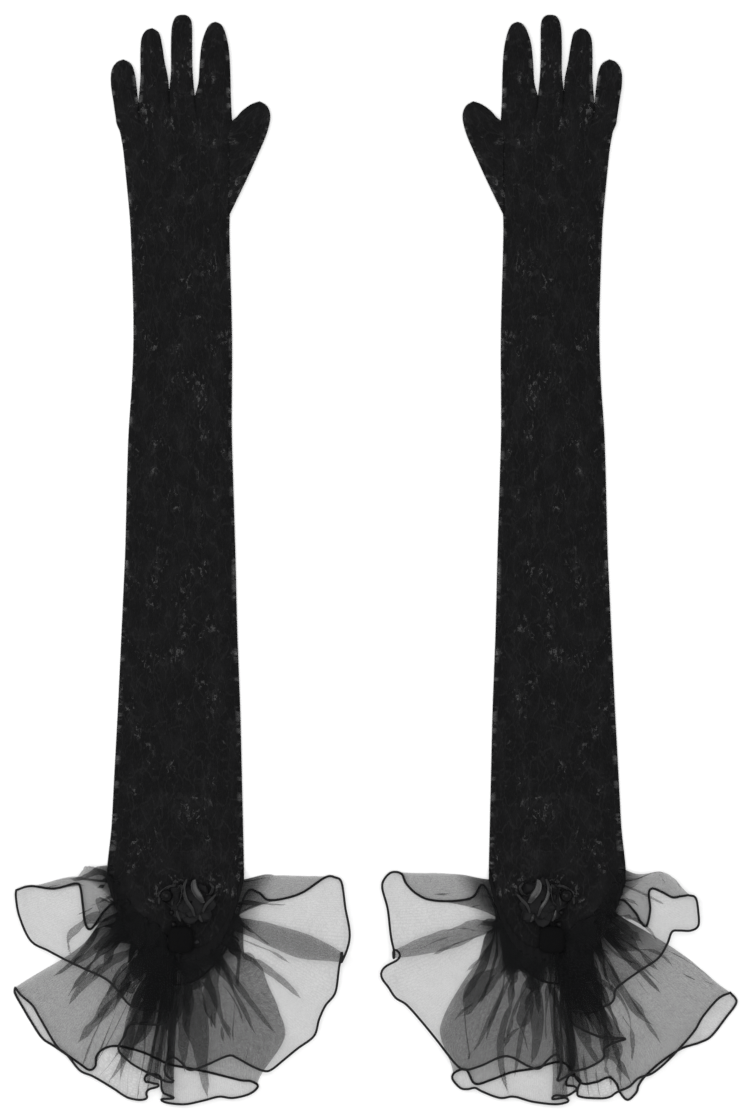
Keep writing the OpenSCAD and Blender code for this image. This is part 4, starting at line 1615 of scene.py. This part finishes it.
@dataclass
class CuffTrim:
    """The gathered binding round the cut end of the lace, and the elastic inside it."""

    place: GloveFrame
    finish: Wardrobe
    columns: int = 432

    def strip(self, name: str, near: float, far: float, low: float, high: float, inset: float,
              material: bpy.types.Material, waves: int, depth: float) -> bpy.types.Object:
        """Builds a closed strip that follows the cut end.

        Args:
            name: the piece's name, without its hand.
            near: how far past the cut end the strip starts.
            far: how far past the cut end it stops.
            low: the under side's height.
            high: the upper side's height in the middle.
            inset: how far its sides stay inside the sleeve's.
            material: its finish.
            waves: gathers round it.
            depth: the gathers' depth.

        Returns:
            The piece.
        """
        cloth = Cloth(self.place)
        g = np.arange(self.columns) / self.columns
        share = np.where(g < 0.5, 2.0 * g, 2.0 - 2.0 * g)
        x = -58.2 + inset + (109.0 - 2.0 * inset) * (0.5 - 0.5 * np.cos(math.pi * share))
        gather = np.sin(math.tau * waves * g + 1.5 * roughly(g * 30.0, g * 0.0, 4.0))
        rise = np.sin(math.pi * share) ** 0.4
        side = np.where(g < 0.5, 1.0, -1.0)
        middle = 0.5 * (low + high) - 0.6
        rows = []
        flats = []
        for row, past in enumerate(np.linspace(near, far, 9)):
            swell = 0.7 * math.sin(math.pi * row / 8.0)
            z = np.where(side > 0, middle + (high - middle) * rise, middle + (low - middle) * rise)
            z = z + side * rise * (swell + depth * gather * 0.5)
            y = self.place.cuff_y(x) - past + 0.4 * gather
            rows.append(np.column_stack([x + 0.25 * depth * gather, y, np.maximum(z, 0.3)]))
            flats.append(np.column_stack([g * 250.0, np.full_like(g, past)]))
        cloth.grid(np.array(rows), np.array(flats), True)
        return cloth.build(name, material)

    def build(self) -> list[bpy.types.Object]:
        """Builds the binding and the elastic.

        Returns:
            The two pieces.
        """
        band = self.strip(
            "gather_binding", -1.5, 8.5, 0.5, 6.8, 0.0, self.finish.felt, 52, 0.9
        )
        elastic = self.strip(
            "inner_elastic", -9.5, -2.5, 1.3, 4.0, 5.0, self.finish.elastic, 30, 0.3
        )
        return [
            self.place.ride(band, "sleeve", ("cuff_band",), "gather_band"),
            self.place.ride(elastic, "sleeve", ("cuff_elastic",), "cuff_elastic"),
        ]


@dataclass
class Rosette:
    """The flower at the point of the cuff: satin petals, ribbon loops, beads and a knot."""

    place: GloveFrame
    finish: Wardrobe
    base_z: float = 8.6
    centre: Pair = (9.0, -273.0)

    def dress(self, cloth: Cloth, name: str, material: bpy.types.Material, node: str,
              finish_slot: str) -> bpy.types.Object:
        """Makes a rosette piece and lets it ride on the sleeve.

        Args:
            cloth: the mesh.
            name: the piece's name, without its hand.
            material: its finish.
            node: the CAD node that it stands for, without its hand.
            finish_slot: the record's finish slot.

        Returns:
            The piece.
        """
        return self.place.ride(cloth.build(name, material), "sleeve", (node,), finish_slot)

    def backing(self) -> bpy.types.Object:
        """Builds the felt disc under the petals.

        Returns:
            The piece.
        """
        cloth = Cloth(self.place)
        turn = np.arange(72) / 72 * math.tau
        wobble = 1.0 + 0.02 * np.sin(5 * turn) + 0.012 * np.sin(11 * turn + 1.0)
        rings = []
        for radius, z in ((0.3, 1.3), (7.0, 1.3), (13.2, 1.15), (14.2, 0.7), (13.6, 0.15),
                          (7.0, 0.0), (0.3, 0.0)):
            reach = radius * wobble
            rings.append(np.column_stack([
                self.centre[0] + reach * np.cos(turn), self.centre[1] + reach * np.sin(turn),
                np.full_like(turn, self.base_z + z),
            ]))
        rings = np.array(rings)
        start = cloth.grid(rings, rings[..., :2], True)
        for row, z in ((0, 1.3), (6, 0.0)):
            middle = np.array([*self.centre, self.base_z + z])
            cloth.cap([start + row * 72 + k for k in range(72)], middle, middle[:2], row == 0)
        return self.dress(cloth, "felt_disc", self.finish.felt, "rosette_backing",
                          "rosette_backing")

    def ribbon(self, cloth: Cloth, path: np.ndarray, tilt: float, width: float) -> None:
        """Adds a ribbon that follows a path, standing on its edge by a tilt.

        Args:
            cloth: the mesh to add to.
            path: the lower edge's places.
            tilt: the ribbon's lean from lying flat, in radians.
            width: the ribbon's width.
        """
        path = spline(path, 42)
        ahead = np.gradient(path, axis=0)
        ahead /= np.linalg.norm(ahead, axis=1, keepdims=True)
        side = np.cross(ahead, [0.0, 0.0, 1.0])
        side /= np.maximum(np.linalg.norm(side, axis=1, keepdims=True), 1e-6)
        share = np.linspace(0.0, 1.0, 9)
        bow = 0.16 * width * np.sin(math.pi * share)
        rise = share * width * math.sin(tilt)
        out = share * width * math.cos(tilt) + bow
        ends = np.sin(math.pi * np.linspace(0.02, 0.98, 42)) ** 0.35
        rows = path[:, None] + side[:, None] * (out[None, :, None] * ends[:, None, None])
        rows[..., 2] += rise[None, :] * ends[:, None]
        under = rows - side[:, None] * 0.28
        closed = np.concatenate([rows, under[:, ::-1]], axis=1)
        run = np.concatenate([[0.0], np.cumsum(np.linalg.norm(np.diff(path, axis=0), axis=1))])
        flat_up = np.stack(np.broadcast_arrays(run[:, None], (1 - share[None]) * width), axis=-1)
        flat = np.concatenate([flat_up, flat_up[:, ::-1] + [0.0, 20.0]], axis=1)
        start = cloth.grid(closed, flat, True)
        for row in (0, 41):
            ring = [start + row * 18 + k for k in range(18)]
            cloth.cap(ring, closed[row].mean(axis=0), flat[row].mean(axis=0), row == 0)

    def petals(self) -> bpy.types.Object:
        """Builds the petals: folded satin leaves round the middle in two layers.

        Returns:
            The piece.
        """
        cloth = Cloth(self.place)
        rng = np.random.default_rng(5 if self.place.hand is Hand.LEFT else 9)
        for layer, (count, length, width, lift) in enumerate(((8, 20.0, 16.0, 1.4),
                                                             (6, 13.0, 12.0, 2.6))):
            for number in range(count):
                turn = math.tau * (number + 0.5 * layer) / count + rng.normal(0.0, 0.1)
                reach = length * rng.uniform(0.88, 1.06)
                across = np.linspace(-1.0, 1.0, 17)[None, :]
                out = np.linspace(0.06, 1.0, 21)[:, None]
                half = 0.5 * width * np.sin(math.pi * out ** 0.75) ** 0.55 * 0.96 + 0.25
                wave = np.sin(3.0 * across + 6.0 * out + rng.uniform(0, 6.0))
                px = reach * out + 0.4 * wave
                py = half * across * (1.0 - 0.12 * wave * out)
                pz = lift + 2.6 * out ** 1.6 * (1.0 - out * 0.55) + 1.5 * across ** 2 * out + (
                    0.35 * wave * out
                )
                x = self.centre[0] + px * math.cos(turn) - py * math.sin(turn)
                y = self.centre[1] + px * math.sin(turn) + py * math.cos(turn)
                sheet = np.stack([x, y, self.base_z + pz + 0.0 * x], axis=-1)
                below = sheet - np.array([0.0, 0.0, 0.3])
                ring = np.concatenate([sheet, below[:, ::-1]], axis=1)
                flat = np.stack(np.broadcast_arrays(px, py + 30.0 * number), axis=-1)
                both = np.concatenate([flat, flat[:, ::-1]], axis=1)
                start = cloth.grid(ring, both, True)
                for row in (0, 20):
                    places = [start + row * 34 + k for k in range(34)]
                    cloth.cap(places, ring[row].mean(axis=0), both[row].mean(axis=0), row == 0)
        return self.dress(cloth, "satin_flower", self.finish.petal, "rosette_petals",
                          "satin_petals")

    def loops(self) -> bpy.types.Object:
        """Builds the loose ribbon strands and loops over the petals.

        Returns:
            The piece.
        """
        cloth = Cloth(self.place)
        z = self.base_z + 4.6
        strands = (
            (((6.2, -254.5, 0.0), (4.6, -262.0, 1.0), (6.6, -270.0, 1.6), (10.8, -277.0, 1.2),
              (12.6, -284.0, 0.0)), 0.55, 3.0),
            (((12.6, -254.5, 0.2), (14.4, -261.0, 1.6), (18.2, -267.0, 2.0), (20.4, -273.0, 0.6)),
             0.3, 5.6),
            (((29.0, -267.0, 0.0), (25.6, -271.6, 1.2), (21.6, -276.0, 1.4), (18.8, -281.6, 0.2)),
             0.5, 2.4),
            (((-2.0, -279.0, 0.0), (-0.6, -283.0, 0.8), (1.0, -288.0, 0.0)), 0.6, 2.0),
            (((16.0, -282.5, 0.0), (17.2, -285.0, 0.8), (18.4, -288.5, 0.0)), 0.6, 2.2),
            (((-2.6, -260.2, 0.2), (-8.0, -261.0, 1.8), (-13.4, -265.2, 1.6), (-15.4, -270.0, 0.8),
              (-16.2, -274.5, 0.0)), 0.5, 2.2),
            (((-5.2, -268.6, 0.4), (-5.0, -272.0, 1.0), (-5.8, -275.6, 0.0)), 0.7, 1.8),
            (((-3.0, -262.0, 0.0), (1.4, -258.6, 1.2), (3.4, -264.0, 1.8), (1.6, -272.0, 1.0),
              (-2.0, -276.0, 0.0)), 1.15, 4.0),
            (((24.0, -257.0, 0.0), (27.5, -261.0, 1.4), (25.0, -266.5, 1.6), (20.5, -268.0, 0.4)),
             1.1, 4.0),
        )
        for places, tilt, width in strands:
            path = np.array(places, float)
            path[:, 2] += z
            self.ribbon(cloth, path, tilt, width)
        return self.dress(cloth, "ribbon_strands", self.finish.satin, "ribbon_loops",
                          "satin_ribbon")

    def beads(self) -> bpy.types.Object:
        """Builds the round bead and two small ones beside it.

        Returns:
            The piece.
        """
        cloth = Cloth(self.place)
        for x, y, z, radius in ((-10.4, -267.6, 14.2, 5.2), (-6.4, -281.2, 11.8, 2.1),
                                (-4.8, -290.6, 11.8, 2.3)):
            tall = np.linspace(0.08, math.pi - 0.08, 22)[:, None]
            turn = np.linspace(0.0, math.tau, 36, endpoint=False)[None, :]
            ball = np.stack(np.broadcast_arrays(
                x + radius * np.sin(tall) * np.cos(turn),
                y + radius * np.sin(tall) * np.sin(turn),
                z + radius * np.cos(tall) + 0.0 * turn,
            ), axis=-1)
            flat = np.stack(np.broadcast_arrays(radius * turn, radius * tall), axis=-1)
            start = cloth.grid(ball, flat, True)
            for row, end in ((0, z + radius), (21, z - radius)):
                places = [start + row * 36 + k for k in range(36)]
                cloth.cap(places, np.array([x, y, end]), flat[row, 0], row == 0)
        return self.dress(cloth, "round_beads", self.finish.bead, "bead", "bead")

    def knot(self) -> bpy.types.Object:
        """Builds the dark padded knot below the flower, with its creases.

        Returns:
            The piece.
        """
        cloth = Cloth(self.place)
        tall = np.linspace(0.05, math.pi - 0.05, 34)[:, None]
        turn = np.linspace(0.0, math.tau, 64, endpoint=False)[None, :]

        def square(value: np.ndarray, power: float) -> np.ndarray:
            """A sine or cosine made squarer, for a round-cornered outline."""
            return np.sign(value) * np.abs(value) ** power

        ring = np.sin(tall) ** 0.6
        x = 1.0 + 10.2 * ring * square(np.cos(turn), 0.55)
        y = -303.0 + 10.6 * ring * square(np.sin(turn), 0.55)
        z = 11.0 + 4.4 * np.cos(tall) + 0.35 * np.sin(x * 0.8 + 0.5 * y) * np.sin(tall)
        ball = np.stack(np.broadcast_arrays(x, y, z), axis=-1)
        flat = np.stack(np.broadcast_arrays(10.0 * turn, 12.0 * tall), axis=-1)
        start = cloth.grid(ball, flat, True)
        for row in (0, 33):
            places = [start + row * 64 + k for k in range(64)]
            cloth.cap(places, ball[row].mean(axis=0), flat[row, 0], row == 0)
        return self.dress(cloth, "tied_knot", self.finish.velvet, "ribbon_knot", "ribbon_knot")

    def build(self) -> list[bpy.types.Object]:
        """Builds the whole rosette.

        Returns:
            Its pieces.
        """
        return [self.backing(), self.petals(), self.loops(), self.beads(), self.knot()]


# ---------------------------------------------------------------- studio


@dataclass
class Studio:
    """The white floor, the soft light and the camera straight overhead."""

    height: float = 3.0
    view_height: float = 0.8944

    def floor(self) -> None:
        """Lays the floor under the gloves."""
        mesh = bpy.data.meshes.new("studio_floor")
        half = 4.0
        corners = [(-half, -half, 0), (half, -half, 0), (half, half, 0), (-half, half, 0)]
        mesh.from_pydata(corners, [], [(0, 1, 2, 3)])
        mesh.materials.append(FloorFinish().build())
        made = bpy.data.objects.new("studio_floor", mesh)
        bpy.context.scene.collection.objects.link(made)

    def lamp(self, name: str, place: Sequence[float], size: float, power: float) -> None:
        """Hangs one square soft light that faces the gloves.

        Args:
            name: the light's name.
            place: where it hangs.
            size: its side.
            power: its power in watts.
        """
        data = bpy.data.lights.new(name, "AREA")
        data.size = size
        data.energy = power
        lamp = bpy.data.objects.new(name, data)
        lamp.location = place
        lamp.rotation_euler = (-Vector(place)).to_track_quat("-Z", "Y").to_euler()
        bpy.context.scene.collection.objects.link(lamp)

    def camera(self) -> None:
        """Sets the camera overhead."""
        data = bpy.data.cameras.new("overhead")
        data.type = "PERSP"
        data.sensor_width = 36.0
        data.lens = data.sensor_width * self.height / self.view_height
        camera = bpy.data.objects.new("overhead", data)
        camera.location = (0.0, 0.0005, self.height)
        bpy.context.scene.collection.objects.link(camera)
        bpy.context.scene.camera = camera

    def build(self) -> None:
        """Builds the studio."""
        self.floor()
        self.lamp("overhead_softbox", (0.0, 0.0, 2.6), 2.4, 44.0)
        self.lamp("side_softbox", (-1.9, 0.9, 1.7), 1.1, 16.0)
        self.camera()
        world = bpy.data.worlds.new("studio_air")
        world.use_nodes = True
        air = world.node_tree.nodes["Background"]
        air.inputs["Color"].default_value = (1.0, 1.0, 1.0, 1.0)
        air.inputs["Strength"].default_value = 0.62
        bpy.context.scene.world = world
        bpy.context.scene.view_settings.view_transform = "Standard"
        bpy.context.scene.cycles.transparent_max_bounces = 48


def main() -> None:
    """Builds the studio, both gloves and their trims."""
    logging.basicConfig(level=logging.INFO, format="%(message)s")
    Studio().build()
    finish = Wardrobe.build()
    tiers = {Hand.LEFT: (UPPER_LEFT, LOWER_LEFT), Hand.RIGHT: (UPPER_RIGHT, LOWER_RIGHT)}
    for hand in Hand:
        place = GloveFrame.read(hand)
        LaceGlove(place, finish).build()
        CuffTrim(place, finish).build()
        for shape in tiers[hand]:
            RuffleTier(place, finish, shape).build()
        Rosette(place, finish).build()


if __name__ == "__main__":
    main()
